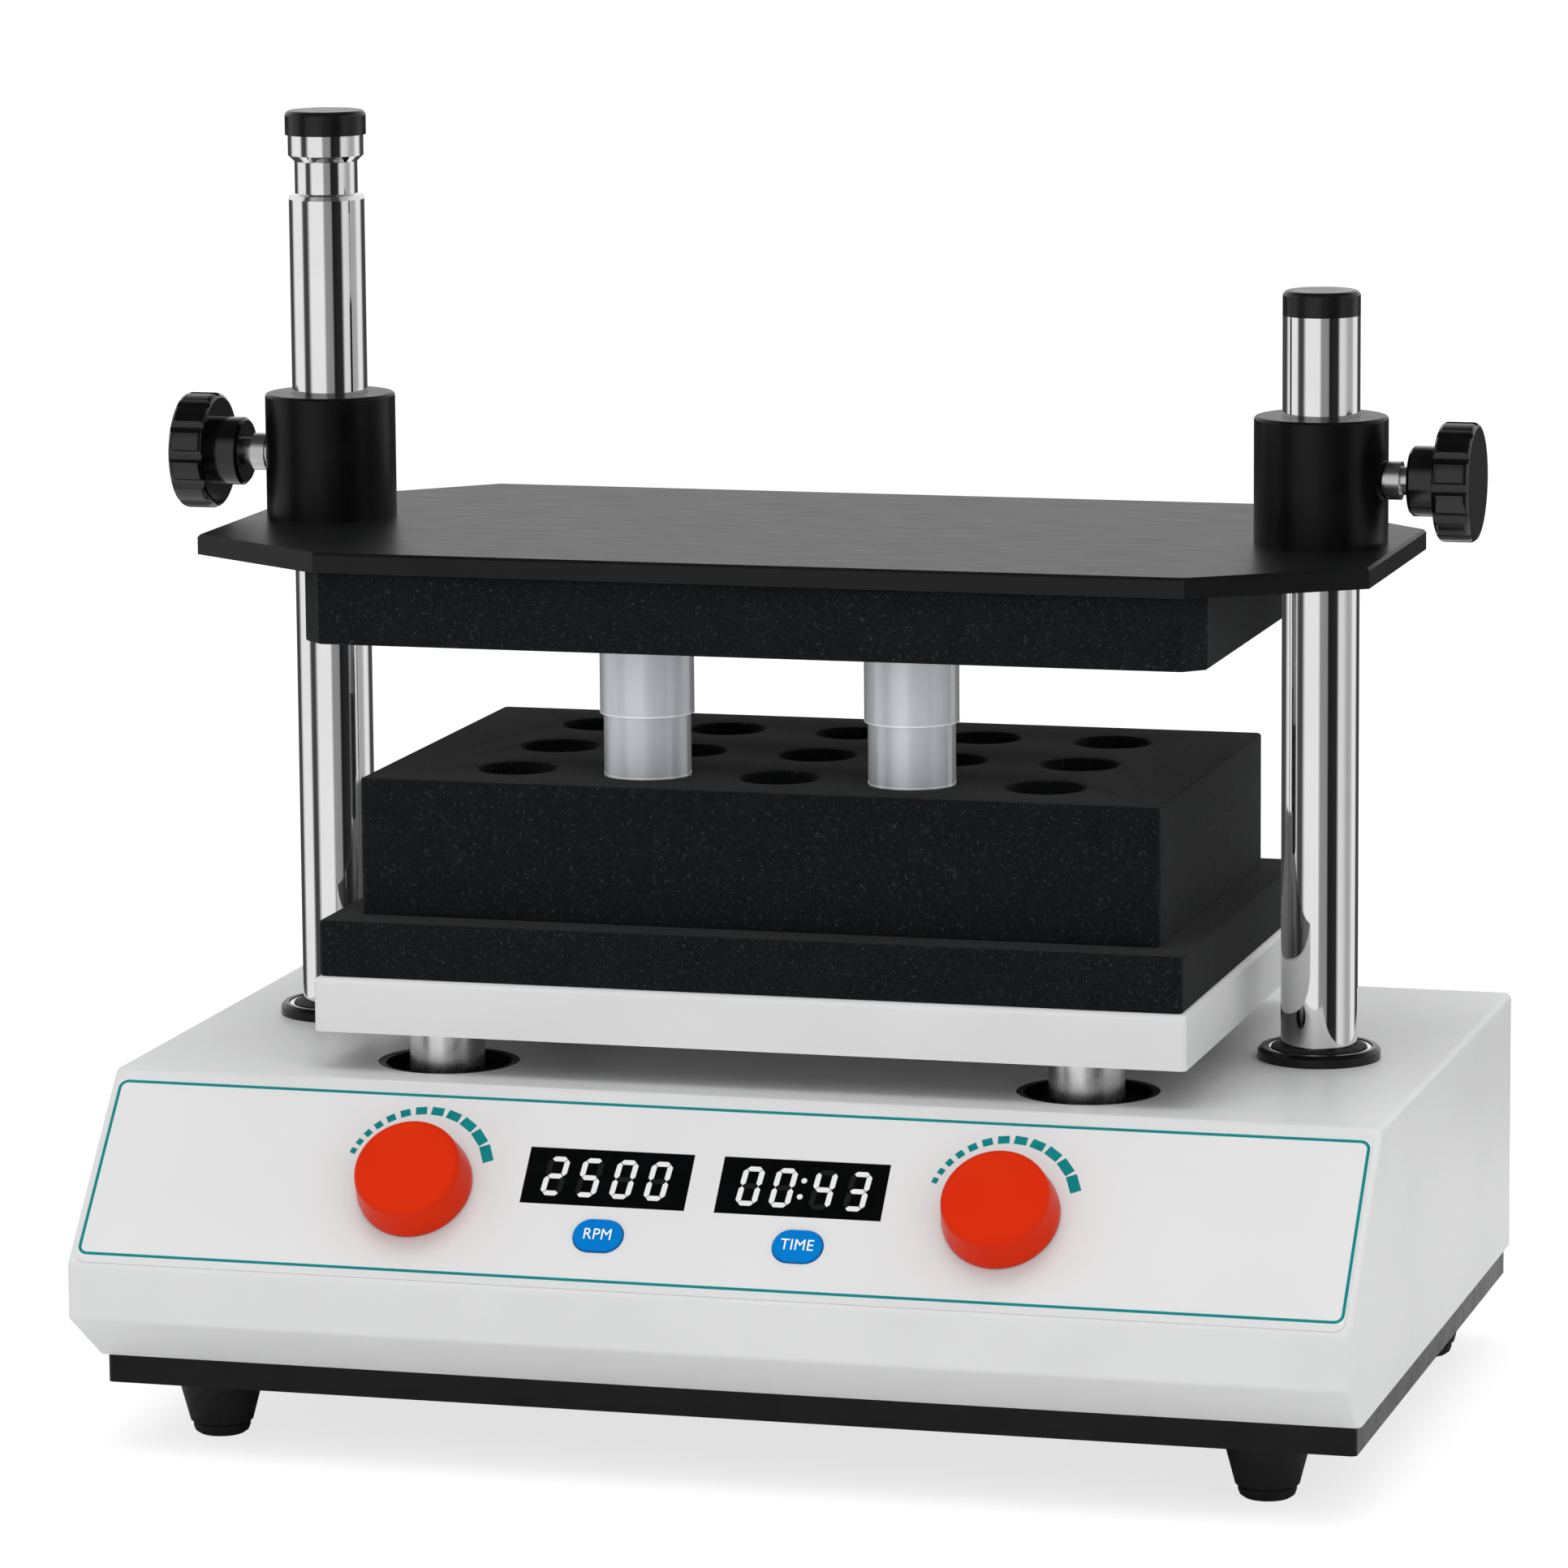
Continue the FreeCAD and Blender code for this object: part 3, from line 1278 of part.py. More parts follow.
def sample_tubes():
    """Tubes in the rack's front row, each with a cap pushed over its neck."""
    tubes, caps = [], []
    neck = "tube_cap_radius - tube_cap_wall - tube_fit"
    step = "tube_top - tube_cap_height"
    for column in TUBE_COLUMNS:
        tube = turned(f"sample_tube_{column}", [
            ("0", "rack_bottom"), ("tube_radius - tube_wall", "rack_bottom"),
            ("tube_radius", "rack_bottom + tube_wall"), ("tube_radius", step), (neck, step),
            (neck, "tube_top - tube_cap_wall"), (f"{neck} - tube_wall", "tube_top - tube_cap_wall"),
            (f"{neck} - tube_wall", "rack_bottom + 2*tube_wall"), ("0", "rack_bottom + 2*tube_wall"),
        ])
        cap = turned(f"tube_cap_{column}", [
            ("tube_cap_radius - tube_cap_wall", step), ("tube_cap_radius", step),
            ("tube_cap_radius", "tube_top"), ("0", "tube_top"), ("0", "tube_top - tube_cap_wall"),
            ("tube_cap_radius - tube_cap_wall", "tube_top - tube_cap_wall"),
        ])
        for item in (tube, cap):
            put(item, f"{column}*rack_pitch_x", "tube_row_y")
        tubes.append(tube)
        caps.append(cap)
    group("sample_tubes", tubes)
    group("tube_caps", caps)


# Clamp

def clamp_plate():
    body = make_body("clamp_plate")
    outline = make_sketch(body, "XY_Plane", "plate_bottom")
    tip, front, back = "plate_width/2", "plate_front_width/2", "plate_back_width/2"
    front_y, back_y = "drive_y - plate_front_reach", "drive_y + plate_back_reach"
    polygon(outline, [
        (f"-{front}", front_y), (front, front_y), (tip, "drive_y - plate_front_side"),
        (tip, "drive_y + plate_back_side"), (back, back_y), (f"-{back}", back_y),
        (f"-{tip}", "drive_y + plate_back_side"), (f"-{tip}", "drive_y - plate_front_side"),
    ])
    pad(body, outline, "plate_thickness")
    doc.recompute()
    top = body.Shape.BoundBox.ZMax
    soften(body, "plate_edge", lambda edge: edge.BoundBox.ZMin > top - 0.01, kind="Chamfer")
    holes = make_sketch(body, "XY_Plane", "plate_top")
    sinks = make_sketch(body, "XY_Plane", "plate_bottom")
    for x, y in COLUMNS:
        circle(holes, x, y, "column_radius + collar_bore_gap")
        for sign in SIDES.values():
            circle(holes, x, f"{y} + {sign}*collar_screw_y", "case_screw_radius + screw_gap")
            circle(sinks, x, f"{y} + {sign}*collar_screw_y", "case_screw_head_radius + screw_gap")
    pocket(body, holes, "plate_thickness*2")
    pocket(body, sinks, "case_screw_head + screw_gap", backwards=True)
    return node(body, "clamp_plate")


def top_foam():
    body = slab("top_foam", "top_foam_width", "top_foam_depth", "top_foam_thickness",
                y="drive_y", z="foam_bottom")
    soften(body, "top_foam_corner", lambda edge: runs_along(edge, (0, 0, 1)), kind="Chamfer")
    return node(body, "top_foam")


def collars():
    for side, sign in SIDES.items():
        body = turned(f"collar_{side}", [
            ("column_radius + collar_bore_gap", "plate_top"), ("collar_radius", "plate_top"),
            ("collar_radius", "plate_top + collar_height"),
            ("column_radius + collar_bore_gap", "plate_top + collar_height"),
        ])
        doc.recompute()
        top = body.Shape.BoundBox.ZMax
        reach = body.Shape.BoundBox.XMax
        soften(body, "collar_edge",
               lambda edge: edge.BoundBox.ZMin > top - 0.01 and edge.BoundBox.XMax > reach - 0.01)
        threads = make_sketch(body, "XY_Plane", "plate_top")
        for j in SIDES.values():
            circle(threads, "0", f"{j}*collar_screw_y", "case_screw_radius + thread_gap")
        pocket(body, threads, "case_screw_length", backwards=True)
        bore = make_sketch(body, "YZ_Plane")
        circle(bore, "0", "clamp_z", "clamp_screw_radius + clamp_screw_gap")
        pocket(body, bore, "collar_radius*2", backwards=sign > 0)
        put(body, f"{sign}*column_x", "drive_y")
        node(body, f"collar_{side}")


def collar_screws():
    items = []
    for i, (x, y) in enumerate(COLUMNS):
        for j, sign in enumerate(SIDES.values()):
            items.append(case_screw(f"collar_screw_{i}{j}", x, f"{y} + {sign}*collar_screw_y",
                                    "plate_bottom + case_screw_head + screw_gap"))
    return group("collar_screws", items)


def clamp_item(name, outline, side, soft=None):
    """A turned clamp piece whose axis runs out from the column to one side."""
    body = turned(f"{name}_{side}", outline)
    if soft:
        soft(body)
    body.Placement = FreeCAD.Placement(FreeCAD.Vector(), FreeCAD.Rotation(FreeCAD.Vector(0, 1, 0), 90 * SIDES[side]))
    put(body, f"{SIDES[side]}*column_x", "drive_y", "clamp_z")
    return node(body, f"{name}_{side}")


def flute(body):
    """Rounds the head's edges and cuts the finger grooves round its rim."""
    doc.recompute()
    reach = body.Shape.BoundBox.XMax
    soften(body, "clamp_head_edge", lambda edge: edge.BoundBox.XMax > reach - 0.01 and edge.BoundBox.ZLength < 0.01)
    groove = make_sketch(body, "XY_Plane", "head_end + clamp_head_edge")
    circle(groove, "lobe_groove_place", "0", "lobe_groove_radius")
    first = pocket(body, groove, "clamp_head_length + clamp_head_edge*1.5")
    pattern = body.newObject("PartDesign::PolarPattern", "lobe_pattern")
    pattern.Originals = [first]
    pattern.Axis = (groove, ["N_Axis"])
    pattern.Angle = 360
    bind(pattern, Occurrences="lobes")
    body.Tip = pattern


def clamp_screws():
    """Each clamp screw: a tip that presses on the column, a steel screw and a moulded knob."""
    steel = "clamp_screw_radius"
    for side in SIDES:
        clamp_item("clamp_tip", [
            ("0", "tip_face"), ("tip_radius", "tip_face"), ("tip_radius", "tip_back"), ("0", "tip_back"),
        ], side)
        clamp_item("clamp_screw", [
            ("0", "tip_back + thread_gap"), ("tip_pin", "tip_back + thread_gap"),
            (steel, "tip_back + thread_gap + tip_pin"), (steel, "collar_radius + screw_gap"),
            ("clamp_flange_radius", "collar_radius + screw_gap"),
            ("clamp_flange_radius", "collar_radius + clamp_neck_length*0.6"),
            ("clamp_groove_radius", "collar_radius + clamp_neck_length*0.6"),
            ("clamp_groove_radius", "head_face"), ("0", "head_face"),
        ], side)
        clamp_item("clamp_knob", [
            ("clamp_groove_radius + seat_gap", "hub_face"), ("clamp_hub_radius - clamp_head_edge/2", "hub_face"),
            ("clamp_hub_radius", "hub_face + clamp_head_edge/2"), ("clamp_hub_radius", "head_face"),
            ("clamp_head_radius", "head_face"), ("clamp_head_radius", "head_end"), ("0", "head_end"),
            ("0", "head_face + seat_gap"), ("clamp_groove_radius + seat_gap", "head_face + seat_gap"),
        ], side, flute)


# Power parts

def power_supply():
    """The supply board with its transformer, capacitors and heat sink."""
    top = "supply_bottom + supply_board"
    parts = [
        block("supply_sheet", "supply_width", "supply_depth", "supply_board", "supply_x", "supply_y", "supply_bottom"),
        block("transformer", "transformer_width", "transformer_depth", "transformer_height",
              "supply_x - supply_width/6", "supply_y + supply_depth/5", top),
        cylinder("capacitor_large", "capacitor_radius", "capacitor_height",
                 "supply_x + supply_width/4", "supply_y + supply_depth/10", top),
        cylinder("capacitor_small", "small_capacitor_radius", "small_capacitor_height",
                 "supply_x + supply_width/3.5", "supply_y - supply_depth/7", top),
        block("heat_sink", "heat_sink_width", "heat_sink_depth", "heat_sink_height",
              "supply_x - supply_width/16", "supply_y - supply_depth/3.2", top),
    ]
    return node(fused("power_supply", parts), "power_supply")


def power_inlet():
    """The mains inlet: a flanged block with a socket and three contact blades."""
    body = block("inlet_block", "inlet_width", "inlet_depth", "inlet_height",
                 "inlet_x", "case_rear - inlet_depth/2", "power_z - inlet_height/2")
    flange = block("inlet_flange_plate", "inlet_width + 2*inlet_flange", "flange_thickness",
                   "inlet_height + 2*inlet_flange", "inlet_x", "case_rear + flange_thickness/2",
                   "power_z - inlet_height/2 - inlet_flange")
    socket = block("inlet_socket", "socket_width", "socket_depth + flange_thickness + 1", "socket_height",
                   "inlet_x", "case_rear + (flange_thickness + 1 - socket_depth)/2", "power_z - socket_height/2")
    shell = cut("inlet_shell", fused("inlet_solid", [body, flange]), [socket])
    blades = []
    for i, (dx, dz) in enumerate((("-blade_pitch/2", "-blade_drop"), ("blade_pitch/2", "-blade_drop"),
                                  ("0", "ground_rise - blade_drop"))):
        blades.append(block(f"blade_{i}", "blade_width", "socket_depth", "blade_height", f"inlet_x + {dx}",
                            "case_rear - socket_depth/2 - thread_gap", f"power_z + {dz} - blade_height/2"))
    return node(fused("power_inlet", [shell] + blades), "power_inlet")


def power_switch():
    """The switch body that the rocker tilts in."""
    body = block("switch_block", "switch_width", "switch_depth", "switch_height",
                 "switch_x", "case_rear - switch_depth/2", "power_z - switch_height/2")
    flange = block("switch_flange_plate", "switch_width + 2*inlet_flange", "flange_thickness",
                   "switch_height + 2*inlet_flange", "switch_x", "case_rear + flange_thickness/2",
                   "power_z - switch_height/2 - inlet_flange")
    depth = "switch_depth*0.6"
    well = block("switch_well", "rocker_width + 2*rocker_gap", f"{depth} + flange_thickness + 1",
                 "rocker_height + 8*rocker_gap", "switch_x",
                 f"case_rear + (flange_thickness + 1 - {depth})/2", "power_z - rocker_height/2 - 4*rocker_gap")
    bore = cylinder("switch_pin_bore", "rocker_pin_radius + thread_gap", "rocker_width + 2*rocker_pin_reach + 1")
    bore.Placement = FreeCAD.Placement(FreeCAD.Vector(), FreeCAD.Rotation(FreeCAD.Vector(0, 1, 0), 90))
    put(bore, "switch_x - rocker_width/2 - rocker_pin_reach - 0.5", "case_rear - rocker_pivot_depth", "power_z")
    return node(cut("power_switch", fused("switch_solid", [body, flange]), [well, bore]), "power_switch")


def power_rocker():
    """The rocker on its pin, tipped so that its lower half stands out."""
    body = make_body("power_rocker")
    outline = make_sketch(body, "YZ_Plane")
    polygon(outline, [
        ("rocker_face + rocker_half*tan(rocker_tilt)", "-rocker_half"), ("rocker_face", "0"),
        ("rocker_face + rocker_half*tan(rocker_tilt)", "rocker_half"),
        ("-rocker_pivot_depth", "rocker_half*0.85"), ("-rocker_pivot_depth*1.6", "0"),
        ("-rocker_pivot_depth", "-rocker_half*0.85"),
    ])
    pad(body, outline, "rocker_width", both_ways=True)
    pin = make_sketch(body, "YZ_Plane")
    circle(pin, "0", "0", "rocker_pin_radius")
    pad(body, pin, "rocker_width + 2*rocker_pin_reach", both_ways=True)
    turn(body, (1, 0, 0), "rocker_tilt")
    put(body, "switch_x", "case_rear - rocker_pivot_depth", "power_z")
    return node(body, "power_rocker")


rubber_feet()
base_plate()
frame_screws()
case_shell()
panel_film()
rear_panel()
case_screws()
post_rims()
display("speed_display", "speed_display_x")
display("time_display", "time_display_x")
control_knob("speed_knob", "speed_knob_x")
control_knob("time_knob", "time_knob_x")
push_key("speed_button", "speed_key_x")
push_key("time_button", "time_key_x")
key_switches()
potentiometers()
control_board()
board_standoffs()
columns()
column_rings()
column_bolts()
chassis_plate()
chassis_pillars()
drive_motor()
motor_shaft()
crank_hub()
counterweight()
idler_cranks()
bearings()
carriage_plate()
platform_posts()
post_screws()
platform()
base_foam()
rack_foam()
sample_tubes()
clamp_plate()
top_foam()
collars()
collar_screws()
clamp_screws()
power_supply()
power_inlet()
power_switch()
power_rocker()
doc.recompute()

for thing in doc.Objects:
    if "Invalid" in thing.State or "Error" in thing.State:
        raise RuntimeError(f"{thing.Name} failed: {thing.State}")
for thing in nodes:
    if thing.Shape.isNull() or not thing.Shape.isValid() or not thing.Shape.Solids:
        raise RuntimeError(f"{thing.Label} has no valid solid")

os.makedirs("parts", exist_ok=True)
for thing in nodes:
    thing.Shape.exportStep(os.path.join("parts", f"{thing.Label}.step"))
print(f"{len(nodes)} sub-parts written")
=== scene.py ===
"""Dresses the multi-tube vortex mixer: materials, foam, printed panel, digits, light and camera.

Metres, +Z up, front towards -Y, origin on the floor below the middle of the case.
"""
import math

import bmesh
import bpy
from mathutils import Matrix, Vector


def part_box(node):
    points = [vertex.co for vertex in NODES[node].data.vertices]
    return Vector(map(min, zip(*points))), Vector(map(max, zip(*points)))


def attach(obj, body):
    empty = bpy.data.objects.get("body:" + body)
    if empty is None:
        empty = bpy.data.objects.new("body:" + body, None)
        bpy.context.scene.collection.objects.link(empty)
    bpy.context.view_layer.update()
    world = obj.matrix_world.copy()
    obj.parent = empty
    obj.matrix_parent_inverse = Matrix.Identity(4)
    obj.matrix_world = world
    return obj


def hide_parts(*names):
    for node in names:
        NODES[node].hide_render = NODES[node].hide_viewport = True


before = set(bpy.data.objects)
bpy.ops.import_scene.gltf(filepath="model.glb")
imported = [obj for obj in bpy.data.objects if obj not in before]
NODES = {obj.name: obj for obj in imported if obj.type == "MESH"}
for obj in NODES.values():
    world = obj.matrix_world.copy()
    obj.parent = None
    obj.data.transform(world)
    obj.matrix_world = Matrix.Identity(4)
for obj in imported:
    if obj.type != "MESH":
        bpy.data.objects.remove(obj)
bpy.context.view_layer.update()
MM = 0.001
NOISE_SPAN = (0.3, 0.7)


# Node materials

class Look:
    """A material under construction: a Principled shader and helpers that add nodes to it."""

    def __init__(self, name, color=(0.5, 0.5, 0.5), rough=0.5, metal=0.0, **sockets):
        self.material = bpy.data.materials.new(name)
        self.material.use_nodes = True
        self.tree = self.material.node_tree
        self.shader = self.tree.nodes["Principled BSDF"]
        self.coords = None
        self.set("Base Color", (*color, 1.0))
        self.set("Roughness", rough)
        self.set("Metallic", metal)
        for socket, value in sockets.items():
            self.set(socket.replace("_", " "), value)

    def set(self, socket, value):
        self.shader.inputs[socket].default_value = value

    def add(self, kind, **settings):
        node = self.tree.nodes.new(kind)
        for key, value in settings.items():
            setattr(node, key, value)
        return node

    def link(self, source, target):
        self.tree.links.new(source, target)
        return target

    def place(self, stretch=(1, 1, 1)):
        """Object coordinates in millimetres, stretched along each axis."""
        if self.coords is None:
            self.coords = self.add("ShaderNodeTexCoord")
        mapping = self.add("ShaderNodeMapping")
        self.link(self.coords.outputs["Object"], mapping.inputs["Vector"])
        mapping.inputs["Scale"].default_value = [1000 * s for s in stretch]
        return mapping.outputs["Vector"]

    def noise(self, size, stretch=(1, 1, 1), detail=3.0, rough=0.5):
        """Noise whose features are about this many millimetres across."""
        node = self.add("ShaderNodeTexNoise")
        self.link(self.place(stretch), node.inputs["Vector"])
        node.inputs["Scale"].default_value = 1 / size
        node.inputs["Detail"].default_value = detail
        node.inputs["Roughness"].default_value = rough
        return node.outputs["Fac"]

    def cells(self, size):
        """Distance to the nearest cell point, with cells about this many millimetres across."""
        node = self.add("ShaderNodeTexVoronoi")
        self.link(self.place(), node.inputs["Vector"])
        node.inputs["Scale"].default_value = 1 / size
        return node.outputs["Distance"]

    def remap(self, value, low, high, out_low, out_high):
        """Turns the range from low to high into the other range, and holds it at its ends."""
        node = self.add("ShaderNodeMapRange")
        self.link(value, node.inputs["Value"])
        limits = {"From Min": low, "From Max": high, "To Min": out_low, "To Max": out_high}
        for socket, number in limits.items():
            node.inputs[socket].default_value = number
        return node.outputs["Result"]

    def math(self, operation, first, second=0.0):
        node = self.add("ShaderNodeMath", operation=operation)
        for socket, value in zip(node.inputs, (first, second)):
            if isinstance(value, (int, float)):
                socket.default_value = value
            else:
                self.link(value, socket)
        return node.outputs["Value"]

    def blend(self, factor, first, second):
        """Mixes two colours by a factor; each colour is a tuple or a socket."""
        node = self.add("ShaderNodeMix", data_type="RGBA")
        self.link(factor, node.inputs["Factor"])
        for name, value in (("A", first), ("B", second)):
            socket = next(s for s in node.inputs if s.name == name and s.type == "RGBA")
            if isinstance(value, tuple):
                socket.default_value = (*value, 1.0)
            else:
                self.link(value, socket)
        return next(s for s in node.outputs if s.type == "RGBA")

    def color(self, socket):
        self.link(socket, self.shader.inputs["Base Color"])

    def vary(self, size, dark, light, stretch=(1, 1, 1), detail=3.0):
        """Drifts the colour between two tones."""
        factor = self.remap(self.noise(size, stretch, detail), *NOISE_SPAN, 0, 1)
        self.color(self.blend(factor, dark, light))

    def roughen(self, size, low, high, stretch=(1, 1, 1), detail=3.0):
        """Drifts the roughness between two levels."""
        value = self.remap(self.noise(size, stretch, detail), *NOISE_SPAN, low, high)
        self.link(value, self.shader.inputs["Roughness"])

    def bump(self, height, depth, strength=1.0):
        """Raises the surface by a height socket; depth is in millimetres."""
        node = self.add("ShaderNodeBump")
        node.inputs["Strength"].default_value = strength
        node.inputs["Distance"].default_value = depth * MM
        self.link(height, node.inputs["Height"])
        old = self.shader.inputs["Normal"]
        if old.is_linked:
            self.link(old.links[0].from_socket, node.inputs["Normal"])
        self.link(node.outputs["Normal"], old)


def tone(level, tint=(1.0, 1.0, 1.0)):
    """A linear colour from an 8-bit display level and a tint."""
    value = level / 255
    linear = value / 12.92 if value <= 0.04045 else ((value + 0.055) / 1.055) ** 2.4
    return tuple(min(1.0, linear * t) for t in tint)


def powder_coat():
    """Light grey powder coat with a very fine orange peel."""
    look = Look("powder_coat_grey", rough=0.4, Specular_IOR_Level=0.3)
    look.vary(60, tone(209, (0.985, 0.99, 1.0)), tone(214, (0.995, 0.998, 1.0)))
    look.roughen(4, 0.38, 0.44)
    look.bump(look.noise(0.9, detail=2), 0.008, 0.4)
    look.bump(look.noise(6, detail=1), 0.004, 0.3)
    return look.material


def film():
    """The printed film: a slightly lighter field inside the border line."""
    look = Look("panel_film", rough=0.34, Specular_IOR_Level=0.2)
    separate = look.add("ShaderNodeSeparateXYZ")
    look.link(look.place(), separate.inputs["Vector"])
    side = look.math("ABSOLUTE", separate.outputs["X"])
    rise = look.math("SUBTRACT", separate.outputs["Z"], PANEL_LOW_Z)
    low, high, soft = BORDER_LOW * PANEL_SIN, BORDER_HIGH * PANEL_SIN, 0.3
    across = look.remap(side, BORDER_HALF_WIDTH - soft, BORDER_HALF_WIDTH + soft, 1, 0)
    above = look.remap(rise, low - soft, low + soft, 0, 1)
    below = look.remap(rise, high - soft, high + soft, 1, 0)
    field = look.math("MULTIPLY", look.math("MULTIPLY", across, above), below)
    drift = look.remap(look.noise(45), *NOISE_SPAN, 0, 1)
    inner = look.blend(drift, tone(212), tone(215))
    outer = look.blend(drift, tone(207, (0.99, 0.995, 1)), tone(210))
    look.color(look.blend(field, outer, inner))
    look.roughen(3, 0.3, 0.4)
    look.bump(look.noise(0.5, detail=2), 0.006, 0.4)
    return look.material


def brushed_black():
    """Black anodised plate with a fine grain along X and small handling specks."""
    look = Look("black_anodised_plate", rough=0.36, Specular_IOR_Level=0.16)
    look.vary(30, tone(14, (0.94, 0.98, 1.1)), tone(20, (0.95, 0.99, 1.08)), stretch=(0.3, 1, 1))
    grain = look.noise(0.8, stretch=(0.04, 1, 1), detail=4, rough=0.65)
    look.link(look.remap(grain, *NOISE_SPAN, 0.3, 0.42), look.shader.inputs["Roughness"])
    look.bump(grain, 0.02, 0.35)
    look.bump(look.noise(1.4, detail=4, rough=0.7), 0.02, 0.3)
    return look.material


def satin_black(name, level, rough=(0.3, 0.42), grain=0.7, depth=0.01, gloss=0.3):
    """Dark enamel or plastic with a fine grain, from a display level."""
    look = Look(name, rough=rough[0], Specular_IOR_Level=gloss)
    look.vary(14, tone(level, (0.97, 0.98, 1.03)), tone(level + 7, (0.98, 0.99, 1.02)))
    look.roughen(5, *rough)
    look.bump(look.noise(grain, detail=2), depth, 0.4)
    return look.material


def foam():
    """Dense black foam: fine open cells with short curly pale flecks and soft larger mottling."""
    look = Look("black_foam", rough=0.95, Specular_IOR_Level=0.06, Sheen_Weight=0.06, Sheen_Roughness=0.5)
    tint = (0.9, 1.0, 1.12)
    mottle = look.remap(look.noise(9, detail=4), *NOISE_SPAN, 0, 1)
    base = look.blend(mottle, tone(12, tint), tone(17, tint))
    fine = look.remap(look.noise(0.7, detail=5, rough=0.75), 0.4, 0.72, 0, 1)
    grain = look.blend(fine, base, tone(28, tint))
    contour = look.math("ABSOLUTE", look.math("SUBTRACT", look.noise(2.1, detail=1.5), 0.5))
    curl = look.remap(contour, 0.004, 0.02, 1, 0)
    short = look.remap(look.noise(1.4, detail=1), 0.5, 0.6, 0, 1)
    mask = look.math("MULTIPLY", look.math("MULTIPLY", curl, short), 0.75)
    look.color(look.blend(mask, grain, tone(60, (0.95, 0.99, 1.06))))
    look.bump(look.noise(0.6, detail=5, rough=0.8), 0.22, 0.75)
    look.bump(look.cells(1.1), 0.16, 0.5)
    look.bump(look.noise(12, detail=2), 0.3, 0.3)
    return look.material


def chrome():
    """Polished chrome with a slow waviness along the bar."""
    look = Look("chrome_bar", color=tone(224), rough=0.04, metal=1.0)
    look.vary(25, tone(222), tone(227))
    look.roughen(9, 0.025, 0.05, stretch=(1, 1, 0.15))
    look.bump(look.noise(18, stretch=(1, 1, 0.2), detail=1), 0.01, 0.15)
    return look.material


def turned_steel(name, level=190, grain=(1, 1, 0.05), rough=(0.2, 0.34)):
    """Machined steel with fine lines; grain stretches them along one axis."""
    look = Look(name, rough=rough[0], metal=1.0)
    look.vary(6, tone(level - 12), tone(level + 8), stretch=grain)
    look.roughen(1.2, *rough, stretch=grain)
    look.bump(look.noise(0.5, stretch=grain, detail=3), 0.01, 0.35)
    return look.material


def rubber():
    """Matt black rubber."""
    look = Look("black_rubber", rough=0.6, Specular_IOR_Level=0.2)
    look.vary(8, tone(20), tone(28))
    look.roughen(3, 0.5, 0.68)
    look.bump(look.noise(0.6, detail=3), 0.03, 0.4)
    return look.material


def moulded(name, low, high, gloss=0.14):
    """Moulded plastic with a slow colour drift and a very fine surface."""
    look = Look(name, rough=0.28, Specular_IOR_Level=gloss)
    look.vary(20, low, high, detail=0)
    look.roughen(9, 0.28, 0.38, detail=0)
    look.bump(look.noise(0.4, detail=1), 0.003, 0.25)
    return look.material


def tube_plastic(name, low, high, rough):
    """Milky polypropylene: faint flow lines in roughness and bump, and painted highlight streaks in the
    colour, along the tube.
    """
    look = Look(name, rough=rough, Transmission_Weight=0.24, IOR=1.35, Sheen_Weight=0.3,
                Coat_Weight=1.0, Coat_Roughness=0.05)
    # Painted highlight: lighter streaks stretched along the tube in the base colour
    look.vary(6, low, high, stretch=(1, 1, 0.004), detail=0)
    look.roughen(4, rough, rough + 0.05, stretch=(1, 1, 0.01), detail=0)
    look.bump(look.noise(6, stretch=(1, 1, 0.01), detail=0), 0.006, 0.2)
    return look.material


def display_lens():
    """Dark lens of a display, almost black and slightly blue."""
    look = Look("display_lens", rough=0.12, Specular_IOR_Level=0.06)
    tint = (0.9, 1.0, 1.1)
    look.vary(10, tone(6, tint), tone(9, tint))
    look.roughen(5, 0.1, 0.2)
    look.bump(look.noise(9, detail=1), 0.01, 0.2)
    return look.material


def lit(name, level, strength):
    """A lit display segment whose glow and colour drift slightly."""
    look = Look(name, color=tone(level), rough=0.4)
    glow = look.remap(look.noise(1.2, detail=2), *NOISE_SPAN, strength * 0.94, strength)
    look.set("Emission Color", (*tone(level), 1.0))
    look.link(glow, look.shader.inputs["Emission Strength"])
    look.vary(2, tone(level - 6), tone(level))
    return look.material


def ink(name, low, high):
    """Printed ink or lettering."""
    look = Look(name, rough=0.4, Specular_IOR_Level=0.1)
    look.vary(6, low, high)
    look.roughen(2, 0.34, 0.46)
    look.bump(look.noise(0.4, detail=2), 0.006, 0.3)
    return look.material


def circuit_board():
    """Green board with lighter patches of track."""
    look = Look("circuit_board", rough=0.45)
    tracks = look.remap(look.noise(2.2, detail=0), 0.49, 0.51, 0, 1)
    look.color(look.blend(tracks, tone(70, (0.2, 1.0, 0.45)), tone(92, (0.3, 1.0, 0.5))))
    look.bump(tracks, 0.03, 0.5)
    return look.material


def dress(material, *names):
    """Gives CAD nodes a procedural material."""
    for name in names:
        mesh = NODES[name].data
        if not mesh.materials:
            mesh.materials.append(material)
        for index in range(len(mesh.materials)):
            mesh.materials[index] = material


# The sloped panel, in millimetres: x across, and up the slope from its lower edge on the case's outer face

PANEL_FRONT_Y = -138.0
PANEL_LOW_Z = 64.0
PANEL_RUN = 49.0
PANEL_RISE = 54.5
PANEL_LENGTH = math.hypot(PANEL_RUN, PANEL_RISE)
PANEL_COS = PANEL_RUN / PANEL_LENGTH
PANEL_SIN = PANEL_RISE / PANEL_LENGTH
FILM = 0.3
BORDER_HALF_WIDTH = 206.1
BORDER_LOW = 3.7
BORDER_HIGH = 68.6
BORDER_LINE = 1.0
BORDER_CORNER = 3.2
KNOB_X = (-98.5, 93.5)
MARKS_SHIFT = -0.9
MARKS_UP = 38.9
MARKS_RADIUS = 23.7
MARK_COUNT = 12
MARK_FIRST_ANGLE = 161.0
MARK_PITCH = 8.8
MARK_PITCH_GROWTH = 0.76
